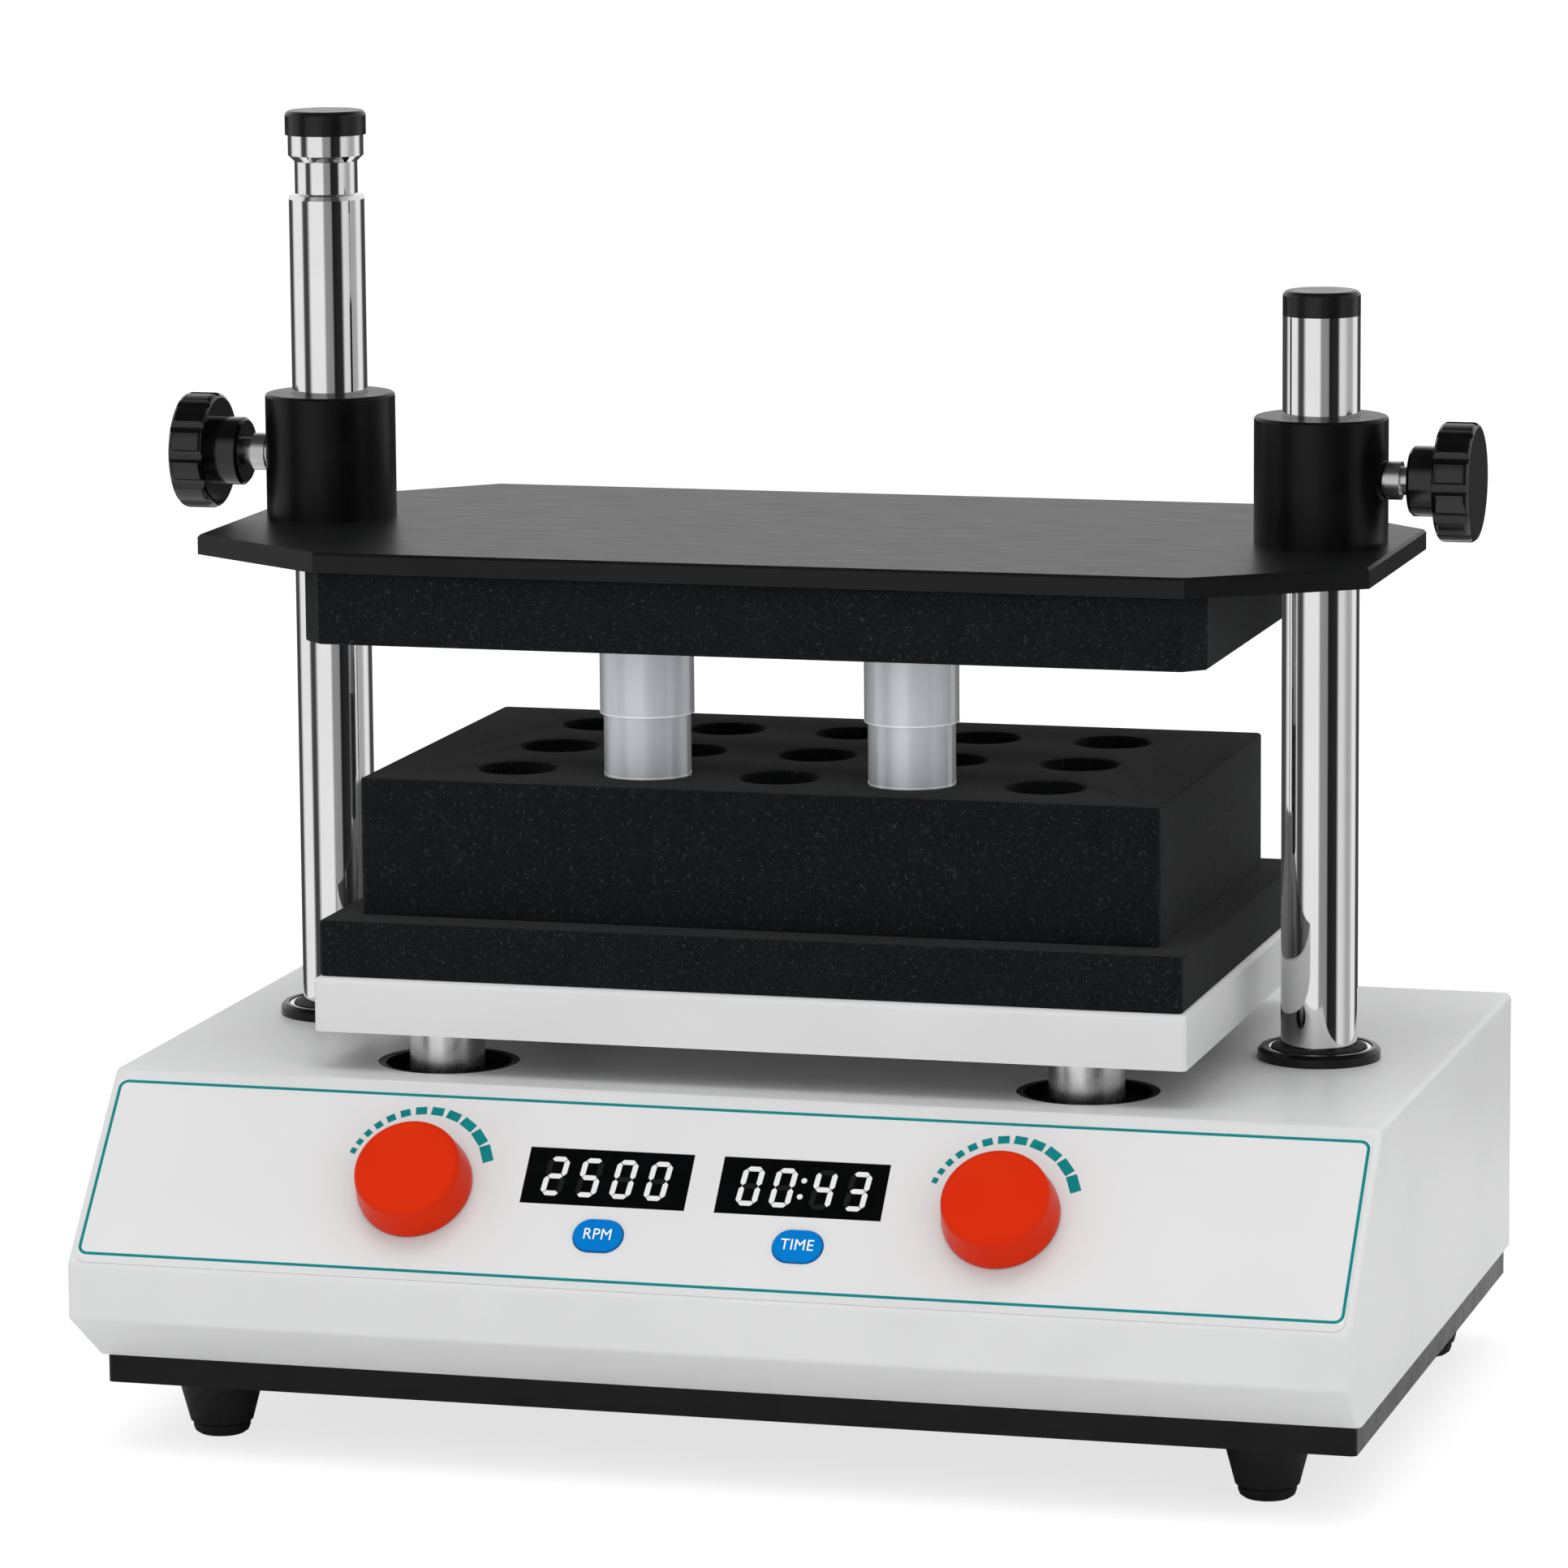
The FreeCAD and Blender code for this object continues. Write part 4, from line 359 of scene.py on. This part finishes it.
MARK_WIDTH, MARK_WIDTH_GROWTH = 2.0, 4.2
MARK_DEPTH, MARK_DEPTH_GROWTH = 1.9, 1.7
KEY_UP = 20.3
KEY_X = (-35.0, 30.2)
KEY_TOP = 1.4
DISPLAY_UP = 41.2
DISPLAY_TOP = 0.2
SPEED_DIGIT_X = [-36.2 + 11.35 * k for k in (-1.5, -0.5, 0.5, 1.5)]
TIME_DISPLAY_X = 28.0
TIME_DIGIT_X = [TIME_DISPLAY_X + offset for offset in (-17.0, -6.2, 6.8, 18.0)]
COLON_X = TIME_DISPLAY_X - 0.1
COLON_RISE = 2.9
COLON_RADIUS = 0.95
DIGIT_HEIGHT = 14.2
DIGIT_WIDTH = 7.0
DIGIT_STROKE = 1.75
DIGIT_SLANT = 0.075
SEGMENT_GAP = 0.16
LABEL_SIZE = 5.0
LABEL_STRETCH = 1.12
INK = 0.05


def on_panel(x, up, out):
    """A point of the panel in metres: x across, up the slope and out from the case's face."""
    y = PANEL_FRONT_Y + up * PANEL_COS - out * PANEL_SIN
    z = PANEL_LOW_Z + up * PANEL_SIN + out * PANEL_COS
    return Vector((x, y, z)) * MM


def new_piece(name, mesh, material, body):
    """A mesh as a piece of one material that rides on a body."""
    piece = bpy.data.objects.new(name, mesh)
    bpy.context.scene.collection.objects.link(piece)
    mesh.materials.clear()
    mesh.materials.append(material)
    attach(piece, body)
    return piece


def closed_mesh(name, shape):
    """Turns a finished bmesh into a mesh whose faces look outward."""
    bmesh.ops.recalc_face_normals(shape, faces=shape.faces)
    mesh = bpy.data.meshes.new(name)
    shape.to_mesh(mesh)
    shape.free()
    return mesh


def mesh_from_curve(name, curve):
    """The mesh of a curve or a text."""
    holder = bpy.data.objects.new(f"{name}_source", curve)
    bpy.context.scene.collection.objects.link(holder)
    bpy.context.view_layer.update()
    mesh = bpy.data.meshes.new_from_object(holder.evaluated_get(bpy.context.evaluated_depsgraph_get()))
    bpy.data.objects.remove(holder)
    mesh.name = name
    return mesh


def circle(x, y, radius, steps):
    """Points on a circle."""
    turns = [math.tau * i / steps for i in range(steps)]
    return [(x + radius * math.cos(a), y + radius * math.sin(a)) for a in turns]


def plates(name, outlines, low, high, material):
    """Thin plates on the panel from flat outlines, each extruded between two heights."""
    shape = bmesh.new()
    for outline in outlines:
        bottom = [shape.verts.new(on_panel(x, up, low)) for x, up in outline]
        top = [shape.verts.new(on_panel(x, up, high)) for x, up in outline]
        shape.faces.new(top)
        shape.faces.new(bottom[::-1])
        for i in range(len(outline)):
            j = (i + 1) % len(outline)
            shape.faces.new((bottom[i], bottom[j], top[j], top[i]))
    new_piece(name, closed_mesh(name, shape), material, "base")


def rounded(half_width, low, high, radius, steps=8):
    """A rounded rectangle's corners, counterclockwise."""
    points = []
    for side_x, level, start in ((1, low, -90), (1, high, 0), (-1, high, 90), (-1, low, 180)):
        cx = side_x * (half_width - radius)
        cy = level + radius if level == low else level - radius
        for i in range(steps + 1):
            angle = math.radians(start + 90 * i / steps)
            points.append((cx + radius * math.cos(angle), cy + radius * math.sin(angle)))
    return points


def panel_border(material):
    """The printed line round the panel, as a closed band between two outlines."""
    outer = rounded(BORDER_HALF_WIDTH, BORDER_LOW, BORDER_HIGH, BORDER_CORNER)
    inner = rounded(BORDER_HALF_WIDTH - BORDER_LINE, BORDER_LOW + BORDER_LINE, BORDER_HIGH - BORDER_LINE,
                    BORDER_CORNER - BORDER_LINE)
    low, high = FILM - INK, FILM + INK
    shape = bmesh.new()
    rows = []
    for outline, height in ((outer, low), (outer, high), (inner, high), (inner, low)):
        rows.append([shape.verts.new(on_panel(x, up, height)) for x, up in outline])
    count = len(outer)
    for a, b in zip(rows, rows[1:] + rows[:1]):
        for i in range(count):
            j = (i + 1) % count
            shape.faces.new((a[i], a[j], b[j], b[i]))
    new_piece("panel_border", closed_mesh("panel_border", shape), material, "base")


def scale_marks(name, knob_x, material):
    """The marks round a knob: small squares on the left that grow into broad bars on the right."""
    angle = MARK_FIRST_ANGLE
    centre = Vector((knob_x + MARKS_SHIFT, MARKS_UP))
    outlines = []
    for i in range(MARK_COUNT):
        share = i / (MARK_COUNT - 1)
        across = MARK_WIDTH + MARK_WIDTH_GROWTH * share ** 1.5
        deep = MARK_DEPTH + MARK_DEPTH_GROWTH * share ** 1.2
        out = Vector((math.cos(math.radians(angle)), math.sin(math.radians(angle))))
        side = Vector((-out.y, out.x))
        middle = centre + out * MARKS_RADIUS
        outlines.append([tuple(middle + out * deep * a / 2 + side * across * b / 2)
                         for a, b in ((-1, -1), (1, -1), (1, 1), (-1, 1))])
        angle -= MARK_PITCH + MARK_PITCH_GROWTH * i
    plates(name, outlines, FILM - INK, FILM + INK, material)


# Each segment's ends, in digit widths across and half heights up, and the segments of each lit digit
SEGMENTS = {
    "a": ((0, 2), (1, 2)), "b": ((1, 1), (1, 2)), "c": ((1, 0), (1, 1)), "d": ((0, 0), (1, 0)),
    "e": ((0, 0), (0, 1)), "f": ((0, 1), (0, 2)), "g": ((0, 1), (1, 1)),
}
GLYPHS = {"0": "abcdef", "2": "abdeg", "3": "abcdg", "4": "bcfg", "5": "acdfg"}


def segment_outline(centre_x, key):
    """One six-sided segment of a digit, slanted like the rest."""
    width = DIGIT_WIDTH - DIGIT_STROKE
    height = (DIGIT_HEIGHT - DIGIT_STROKE) / 2
    (x0, y0), (x1, y1) = SEGMENTS[key]
    start = Vector((x0 * width - width / 2, (y0 - 1) * height))
    end = Vector((x1 * width - width / 2, (y1 - 1) * height))
    along = (end - start).normalized()
    side = Vector((-along.y, along.x)) * DIGIT_STROKE / 2
    start, end = start + along * SEGMENT_GAP, end - along * SEGMENT_GAP
    tip = DIGIT_STROKE / 2
    points = [start, start + along * tip + side, end - along * tip + side, end,
              end - along * tip - side, start + along * tip - side]
    return [(centre_x + p.x + p.y * DIGIT_SLANT, DISPLAY_UP + p.y) for p in points]


def digits(name, text, centres, on, off):
    """A display's digits: lit segments, and the unlit ones a little lower."""
    shining, dark = [], []
    for glyph, x in zip(text, centres):
        for key in SEGMENTS:
            (shining if key in GLYPHS[glyph] else dark).append(segment_outline(x, key))
    plates(f"{name}_digits", shining, DISPLAY_TOP - INK, DISPLAY_TOP + INK, on)
    plates(f"{name}_unlit", dark, DISPLAY_TOP - INK, DISPLAY_TOP + INK * 0.4, off)


def colon(material):
    """The two lit dots of the time display."""
    outlines = [circle(COLON_X + rise * DIGIT_SLANT, DISPLAY_UP + rise, COLON_RADIUS, 20)
                for rise in (-COLON_RISE, COLON_RISE)]
    plates("time_colon", outlines, DISPLAY_TOP - INK, DISPLAY_TOP + INK, material)


def label(name, text, x, material, body):
    """Generic lettering on a button."""
    curve = bpy.data.curves.new(name, "FONT")
    curve.body = text
    curve.size = LABEL_SIZE
    curve.align_x = "CENTER"
    curve.align_y = "CENTER"
    curve.space_character = 1.04
    curve.extrude = INK
    curve.resolution_u = 6
    mesh = mesh_from_curve(name, curve)
    for vertex in mesh.vertices:
        spot = vertex.co
        vertex.co = on_panel(x + spot.x, KEY_UP + spot.y * LABEL_STRETCH, KEY_TOP + spot.z)
    new_piece(name, mesh, material, body)


# Foam and rings

def foam_block(name, node, material, body, corner=1.5, bevel=0.0, holes=(), edge=0.9):
    """A foam block in its CAD solid's place: soft edges, rounded or bevelled corners, soft-rimmed holes."""
    low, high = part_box(node)
    centre, half = (low + high) / 2, (high - low) / 2
    curve = bpy.data.curves.new(name, "CURVE")
    curve.dimensions = "2D"
    curve.fill_mode = "BOTH"
    curve.bevel_depth = edge * MM
    curve.bevel_resolution = 3
    curve.offset = -edge * MM
    curve.extrude = half.z - edge * MM

    def spline(points):
        line = curve.splines.new("POLY")
        line.points.add(len(points) - 1)
        for point, (x, y) in zip(line.points, points):
            point.co = (x, y, 0, 1)
        line.use_cyclic_u = True

    if bevel:
        inner_x, inner_y = half.x - bevel * MM, half.y - bevel * MM
        spline([(inner_x, -half.y), (half.x, -inner_y), (half.x, inner_y), (inner_x, half.y),
                (-inner_x, half.y), (-half.x, inner_y), (-half.x, -inner_y), (-inner_x, -half.y)])
    else:
        spline(rounded(half.x, -half.y, half.y, corner * MM, steps=4))
    for x, y, radius in holes:
        spline(circle(x - centre.x, y - centre.y, radius, 48))
    mesh = mesh_from_curve(name, curve)
    mesh.transform(Matrix.Translation(centre))
    shape = bmesh.new()
    shape.from_mesh(mesh)
    bmesh.ops.remove_doubles(shape, verts=shape.verts, dist=1e-6)
    bmesh.ops.recalc_face_normals(shape, faces=shape.faces)
    shape.to_mesh(mesh)
    shape.free()
    piece = new_piece(name, mesh, material, body)
    smooth_by_angle(piece)
    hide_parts(node)
    piece.visible_glossy = False


def smooth_by_angle(piece, limit=35):
    """Keeps crisp edges sharp and the rest smooth."""
    mesh = piece.data
    mesh.shade_smooth()
    shape = bmesh.new()
    shape.from_mesh(mesh)
    for edge in shape.edges:
        if len(edge.link_faces) == 2 and edge.calc_face_angle() > math.radians(limit):
            edge.smooth = False
    shape.to_mesh(mesh)
    shape.free()


def lathe(name, profile, x, y, material, body, steps=96):
    """A closed ring turned about a vertical axis from radius and height pairs, all in millimetres."""
    shape = bmesh.new()
    rows = []
    for i in range(steps):
        cosine, sine = math.cos(math.tau * i / steps), math.sin(math.tau * i / steps)
        rows.append([shape.verts.new(Vector((x + r * cosine, y + r * sine, z)) * MM) for r, z in profile])
    for i in range(steps):
        a, b = rows[i], rows[(i + 1) % steps]
        for j in range(len(profile)):
            k = (j + 1) % len(profile)
            shape.faces.new((a[j], b[j], b[k], a[k]))
    smooth_by_angle(new_piece(name, closed_mesh(name, shape), material, body))


# Dressing

dress(powder_coat(), "case_shell", "rear_panel", "platform")
dress(film(), "panel_film")
dress(brushed_black(), "clamp_plate")
dress(satin_black("black_anodised_collar", 4, rough=(0.28, 0.34), depth=0.004, gloss=0.17),
      "collar_left", "collar_right")
dress(satin_black("black_enamel", 10, rough=(0.3, 0.4), grain=1.1, depth=0.015, gloss=0.13), "base_plate")
dress(satin_black("black_plastic", 13, rough=(0.2, 0.3), grain=0.6, gloss=0.26),
      "column_cap_left", "column_cap_right", "column_rings", "power_inlet", "power_switch", "power_rocker")
dress(satin_black("black_gloss_plastic", 3, rough=(0.12, 0.18), grain=0.8, depth=0.004, gloss=0.45),
      "clamp_knob_left", "clamp_knob_right")
dress(satin_black("black_grommet", 9, rough=(0.36, 0.46), gloss=0.08), "post_rims")
dress(rubber(), "rubber_feet", "column_seals")
bright_chrome = chrome()
dress(bright_chrome, "column_left", "column_right")
dress(turned_steel("polished_post_steel", 204, grain=(1, 1, 0.3), rough=(0.24, 0.3)), "platform_posts")
dress(turned_steel("machined_steel"),
      "motor_shaft", "crank_hub", "counterweight", "drive_bearing", "idler_crank_rear", "idler_crank_left",
      "idler_crank_right", "idler_lower_bearings", "idler_upper_bearings")
dress(turned_steel("clamp_screw_steel", 185, grain=(0.05, 1, 1)), "clamp_screw_left", "clamp_screw_right")
dress(turned_steel("screw_steel", 170, grain=(1, 1, 1), rough=(0.3, 0.42)),
      "frame_screws", "case_screws", "column_bolts", "post_screws", "collar_screws", "board_standoffs")
dress(turned_steel("milled_aluminium", 200, grain=(0.06, 1, 1), rough=(0.32, 0.45)),
      "chassis_plate", "chassis_pillars", "carriage_plate")
dress(satin_black("motor_enamel", 45, rough=(0.35, 0.48)), "drive_motor")
dress(moulded("tip_nylon", tone(206), tone(216)), "clamp_tip_left", "clamp_tip_right")
dress(circuit_board(), "control_board", "power_supply", "potentiometers", "key_switches")
dress(display_lens(), "speed_display", "time_display")
dress(moulded("knob_red", tone(203, (1.0, 0.032, 0.0)), tone(206, (1.0, 0.037, 0.0)), gloss=0.08),
      "speed_knob", "time_knob")
dress(moulded("key_blue", tone(190, (0.0, 0.31, 1.0)), tone(195, (0.0, 0.33, 1.0)), gloss=0.03),
      "speed_button", "time_button")
dress(tube_plastic("tube_body", tone(222, (0.87, 0.92, 1.0)), tone(246, (0.91, 0.95, 1.0)), 0.2),
      "sample_tubes")
dress(tube_plastic("tube_cap", tone(230, (0.89, 0.935, 1.0)), tone(250, (0.92, 0.955, 1.0)), 0.22),
      "tube_caps")

# Places in millimetres: the columns, the rack's rows and holes, and the tubes in its front row
COLUMN_X, COLUMN_Y = 167.5, 16.0
RACK_Y = 14.0
PITCH_X, PITCH_Y = 44.2, 47.0
HOLE, TUBE_HOLE = 12.7, 14.35
TUBE_RADIUS, CAP_RADIUS = 14.15, 15.3
RACK_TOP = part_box("rack_foam")[1].z / MM
CAP_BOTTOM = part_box("tube_caps")[0].z / MM
FRONT_ROW, TUBE_COLUMNS = -1, (-1, 1)

black_foam = foam()
rack_holes = []
for row in (-1, 0, 1):
    for column in (-2, -1, 0, 1, 2):
        radius = TUBE_HOLE if row == FRONT_ROW and column in TUBE_COLUMNS else HOLE
        rack_holes.append((column * PITCH_X * MM, (RACK_Y + row * PITCH_Y) * MM, radius * MM))
foam_block("base_foam_sheet", "base_foam", black_foam, "carriage")
foam_block("rack_foam_block", "rack_foam", black_foam, "carriage", corner=2.0, holes=rack_holes, edge=1.1)
foam_block("top_foam_pad", "top_foam", black_foam, "clamp", bevel=6.7)

# Bright rings laid into the column rings' tops
INSERT_INNER, INSERT_OUTER, INSERT_EDGE = 15.7, 17.2, 0.3
INSERT_LOW, INSERT_SHOULDER, INSERT_TOP = 121.65, 122.0, 122.2
insert_profile = [
    (INSERT_INNER, INSERT_LOW), (INSERT_INNER, INSERT_SHOULDER), (INSERT_INNER + INSERT_EDGE, INSERT_TOP),
    (INSERT_OUTER - INSERT_EDGE, INSERT_TOP), (INSERT_OUTER, INSERT_SHOULDER), (INSERT_OUTER, INSERT_LOW),
]
for side, sign in (("left", -1), ("right", 1)):
    lathe(f"column_ring_insert_{side}", insert_profile, sign * COLUMN_X, COLUMN_Y, bright_chrome, "base")

# Painted highlights: thin near-white rings at each cap's lower rim and where each tube enters the rack,
# standing in for bright highlight lines
RIM_DEPTH, RIM_PROUD, RIM_HEIGHT = 0.5, 0.1, 0.5
# Opaque near-white plastic that paints these highlight lines
rim_highlight = tube_plastic("tube_rim_highlight", tone(250, (0.97, 0.985, 1.0)), tone(254), 0.15)
rim_highlight.node_tree.nodes["Principled BSDF"].inputs["Transmission Weight"].default_value = 0.0
for side, column in zip(("left", "right"), TUBE_COLUMNS):
    for part, radius, low in (("cap_rim_highlight", CAP_RADIUS, CAP_BOTTOM), ("foot_highlight_line", TUBE_RADIUS, RACK_TOP)):
        inner, outer, high = radius - RIM_DEPTH, radius + RIM_PROUD, low + RIM_HEIGHT
        lathe(f"tube_{part}_{side}", [(inner, low), (outer, low), (outer, high), (inner, high)],
              column * PITCH_X, RACK_Y + FRONT_ROW * PITCH_Y, rim_highlight, "carriage")

teal = ink("teal_ink", tone(122, (0.0, 1.0, 1.04)), tone(130, (0.01, 1.0, 1.03)))
white_ink = ink("white_ink", tone(236), tone(244))
panel_border(teal)
for side, x in zip(("speed", "time"), KNOB_X):
    scale_marks(f"{side}_scale_marks", x, teal)
segment_on = lit("segment_lit", level=200, strength=0.34)
segment_off = ink("segment_unlit", tone(24), tone(29))
digits("speed", "2500", SPEED_DIGIT_X, segment_on, segment_off)
digits("time", "0043", TIME_DIGIT_X, segment_on, segment_off)
colon(segment_on)
for side, word, x in zip(("speed", "time"), ("RPM", "TIME"), KEY_X):
    label(f"{side}_button_label", word, x, white_ink, f"{side}_button")


# Stage

# Bands of the room that metal reflects: degrees round the object from the camera's side, and brightness
FLAG_BANDS = (
    (-180, 0.07), (-130, 0.07), (-124, 0.55), (-116, 1.0), (-82, 1.0), (-74, 0.07), (-60, 0.07), (-50, 1.0),
    (-10, 1.0), (-4, 0.34), (16, 0.3), (20, 0.015), (46, 0.03), (54, 0.86), (66, 0.84), (84, 0.45), (98, 0.5),
    (108, 1.0), (124, 0.95), (132, 0.07), (180, 0.07),
)
HIGH_FLAG_BANDS = (
    (-180, 1.0), (-82, 1.0), (-74, 0.1), (-60, 0.1), (-50, 1.0), (-10, 1.0), (-4, 0.4), (16, 0.35),
    (20, 0.05), (46, 0.07), (54, 0.86), (180, 1.0),
)
WORLD_LEVEL = 0.84
# Sines of the angles above the horizon where the low bands give way to the high ones, and those to the zenith
HIGH_BANDS_FROM, HIGH_BANDS_TO = -0.02, 0.05
ZENITH_FROM, ZENITH_TO = 0.45, 0.75
ZENITH = 0.06

# The floor's colour where light bounces off it, its colour and glow for the camera, and how far metal sees it
FLOOR_PAPER = tone(246)
FLOOR_SEEN = (0.36, 0.36, 0.36)
FLOOR_GLOW = 0.74
FLOOR_REACH = 40.0
TABLE_REACH = 0.5
TABLE_FADE = 0.1

# Lamps: place, target, size and power
LAMPS = {
    "key": ((-1.6, -2.2, 2.6), (0, 0, 0.2), (1.8, 1.8), 2),
    "fill": ((2.6, -1.6, 1.6), (0, 0, 0.2), (1.6, 1.6), 3),
    "overhead": ((0.5, 0.7, 3.2), (0, 0, 0.2), (2.4, 2.4), 19),
    "high_front": ((-0.3, -1.0, 3.0), (0, 0, 0.2), (1.6, 1.2), 22),
    "low_front": ((0.8, -1.5, 0.2), (0, 0, 0.05), (2.0, 0.4), 2),
}

# The camera at the photograph's angle: its distance from the target, and its shift to the right and up
CAMERA_YAW = math.radians(15.54)
CAMERA_PITCH = math.radians(9.40)
CAMERA_ROLL = math.radians(-0.46)
CAMERA_DISTANCE = 2.469
CAMERA_SHIFT = (-0.0072, -0.0248)
CAMERA_TARGET = Vector((0, 0, 0.230))
CAMERA_LENS = 173.74
CAMERA_SENSOR = 36.0


def world_light():
    """Soft even light; the camera and clear pieces see white, and metal sees a white room with dark flags."""
    world = bpy.data.worlds.new("studio")
    bpy.context.scene.world = world
    world.use_nodes = True
    tree = world.node_tree
    tree.nodes.clear()

    def add(kind, inputs=(), **settings):
        """A node whose first sockets take these values or links; None leaves a socket as it is."""
        node = tree.nodes.new(kind)
        for key, value in settings.items():
            setattr(node, key, value)
        for socket, value in zip(node.inputs, inputs):
            if isinstance(value, bpy.types.NodeSocket):
                tree.links.new(value, socket)
            elif value is not None:
                socket.default_value = value
        return node

    def ramp(value, bands):
        """Brightness from bands given in degrees."""
        node = add("ShaderNodeValToRGB", (value,))
        stops = node.color_ramp.elements
        while len(stops) > 1:
            stops.remove(stops[-1])
        for index, (angle, level) in enumerate(bands):
            position = (angle + 180) / 360
            stop = stops[0] if index == 0 else stops.new(position)
            stop.position = position
            stop.color = (level, level, level, 1)
        return node.outputs["Color"]

    direction = add("ShaderNodeTexCoord").outputs["Generated"]
    facing = add("ShaderNodeVectorRotate", (direction, None, None, None), rotation_type="Z_AXIS")
    facing.inputs["Angle"].default_value = math.pi / 2 - CAMERA_YAW
    parts = add("ShaderNodeSeparateXYZ", (facing.outputs["Vector"],)).outputs
    around = add("ShaderNodeMath", (parts["Y"], parts["X"]), operation="ARCTAN2").outputs[0]
    turn = add("ShaderNodeMath", (around, 1 / math.tau), operation="MULTIPLY").outputs[0]
    share = add("ShaderNodeMath", (turn, 0.5), operation="ADD").outputs[0]
    flags = ramp(share, FLAG_BANDS)
    high_flags = ramp(share, HIGH_FLAG_BANDS)
    lift = add("ShaderNodeMapRange", (parts["Z"], HIGH_BANDS_FROM, HIGH_BANDS_TO)).outputs["Result"]
    fade = add("ShaderNodeMapRange", (parts["Z"], ZENITH_FROM, ZENITH_TO)).outputs["Result"]
    both = add("ShaderNodeMixRGB", (lift, flags, high_flags)).outputs[0]
    room = add("ShaderNodeMixRGB", (fade, both, (ZENITH, ZENITH, ZENITH, 1))).outputs[0]

    soft = add("ShaderNodeBackground", ((1, 1, 1, 1), WORLD_LEVEL)).outputs[0]
    white = add("ShaderNodeBackground", ((1, 1, 1, 1), 1.0)).outputs[0]
    shiny = add("ShaderNodeBackground", (room, 1.0)).outputs[0]
    path = add("ShaderNodeLightPath").outputs
    straight = (path["Is Camera Ray"], path["Is Transmission Ray"])
    seen = add("ShaderNodeMath", straight, operation="MAXIMUM").outputs[0]
    plain = add("ShaderNodeMixShader", (seen, soft, white)).outputs[0]
    mixed = add("ShaderNodeMixShader", (path["Is Glossy Ray"], plain, shiny)).outputs[0]
    add("ShaderNodeOutputWorld", (mixed,))


def area_light(name, place, target, size, power):
    """A soft lamp that metal doesn't reflect."""
    lamp = bpy.data.lights.new(name, "AREA")
    lamp.shape = "RECTANGLE"
    lamp.size, lamp.size_y = size
    lamp.energy = power
    item = bpy.data.objects.new(name, lamp)
    bpy.context.scene.collection.objects.link(item)
    item.location = place
    item.visible_glossy = False
    item.rotation_euler = (Vector(target) - Vector(place)).to_track_quat("-Z", "Y").to_euler()


def floor():
    """A wide white floor that keeps a soft shadow; beyond the table's reach metal sees the room instead."""
    mesh = bpy.data.meshes.new("floor")
    corners = [(x * FLOOR_REACH, y * FLOOR_REACH, 0) for x, y in ((-1, -1), (1, -1), (1, 1), (-1, 1))]
    mesh.from_pydata(corners, [], [(0, 1, 2, 3)])
    item = bpy.data.objects.new("floor", mesh)
    bpy.context.scene.collection.objects.link(item)
    look = Look("floor_paper", rough=0.9, Specular_IOR_Level=0.0)
    path = look.add("ShaderNodeLightPath").outputs
    look.color(look.blend(path["Is Camera Ray"], FLOOR_PAPER, FLOOR_SEEN))
    look.set("Emission Color", (1, 1, 1, 1))
    glow = look.math("MULTIPLY", path["Is Camera Ray"], FLOOR_GLOW)
    look.link(glow, look.shader.inputs["Emission Strength"])
    spot = look.add("ShaderNodeTexCoord").outputs["Object"]
    distance = look.add("ShaderNodeVectorMath", operation="LENGTH")
    look.link(spot, distance.inputs[0])
    far = look.remap(distance.outputs["Value"], TABLE_REACH, TABLE_REACH + TABLE_FADE, 0, 1)
    clear = look.add("ShaderNodeBsdfTransparent")
    mix = look.add("ShaderNodeMixShader")
    look.link(look.math("MULTIPLY", far, path["Is Glossy Ray"]), mix.inputs[0])
    look.link(look.shader.outputs[0], mix.inputs[1])
    look.link(clear.outputs[0], mix.inputs[2])
    output = next(node for node in look.tree.nodes if node.type == "OUTPUT_MATERIAL")
    look.link(mix.outputs[0], output.inputs["Surface"])
    mesh.materials.append(look.material)


def camera_axes():
    """The camera's right, up and forward directions."""
    level = Vector((-math.sin(CAMERA_YAW), math.cos(CAMERA_YAW), 0))
    side = Vector((math.cos(CAMERA_YAW), math.sin(CAMERA_YAW), 0))
    top = Vector((0, 0, 1))
    forward = level * math.cos(CAMERA_PITCH) - top * math.sin(CAMERA_PITCH)
    up = top * math.cos(CAMERA_PITCH) + level * math.sin(CAMERA_PITCH)
    turned_side = side * math.cos(CAMERA_ROLL) + up * math.sin(CAMERA_ROLL)
    turned_up = up * math.cos(CAMERA_ROLL) - side * math.sin(CAMERA_ROLL)
    return turned_side, turned_up, forward


def camera():
    """The scene's camera at the photograph's angle."""
    side, up, forward = camera_axes()
    data = bpy.data.cameras.new("camera")
    data.lens = CAMERA_LENS
    data.sensor_width = CAMERA_SENSOR
    data.clip_end = 100.0
    item = bpy.data.objects.new("camera", data)
    bpy.context.scene.collection.objects.link(item)
    spot = CAMERA_TARGET - forward * CAMERA_DISTANCE + side * CAMERA_SHIFT[0] + up * CAMERA_SHIFT[1]
    turn = Matrix((side, up, -forward)).transposed()
    item.matrix_world = Matrix.Translation(spot) @ turn.to_4x4()
    bpy.context.scene.camera = item


world_light()
floor()
camera()
for lamp_name, lamp_values in LAMPS.items():
    area_light(lamp_name, *lamp_values)
bpy.context.scene.view_settings.view_transform = "Standard"
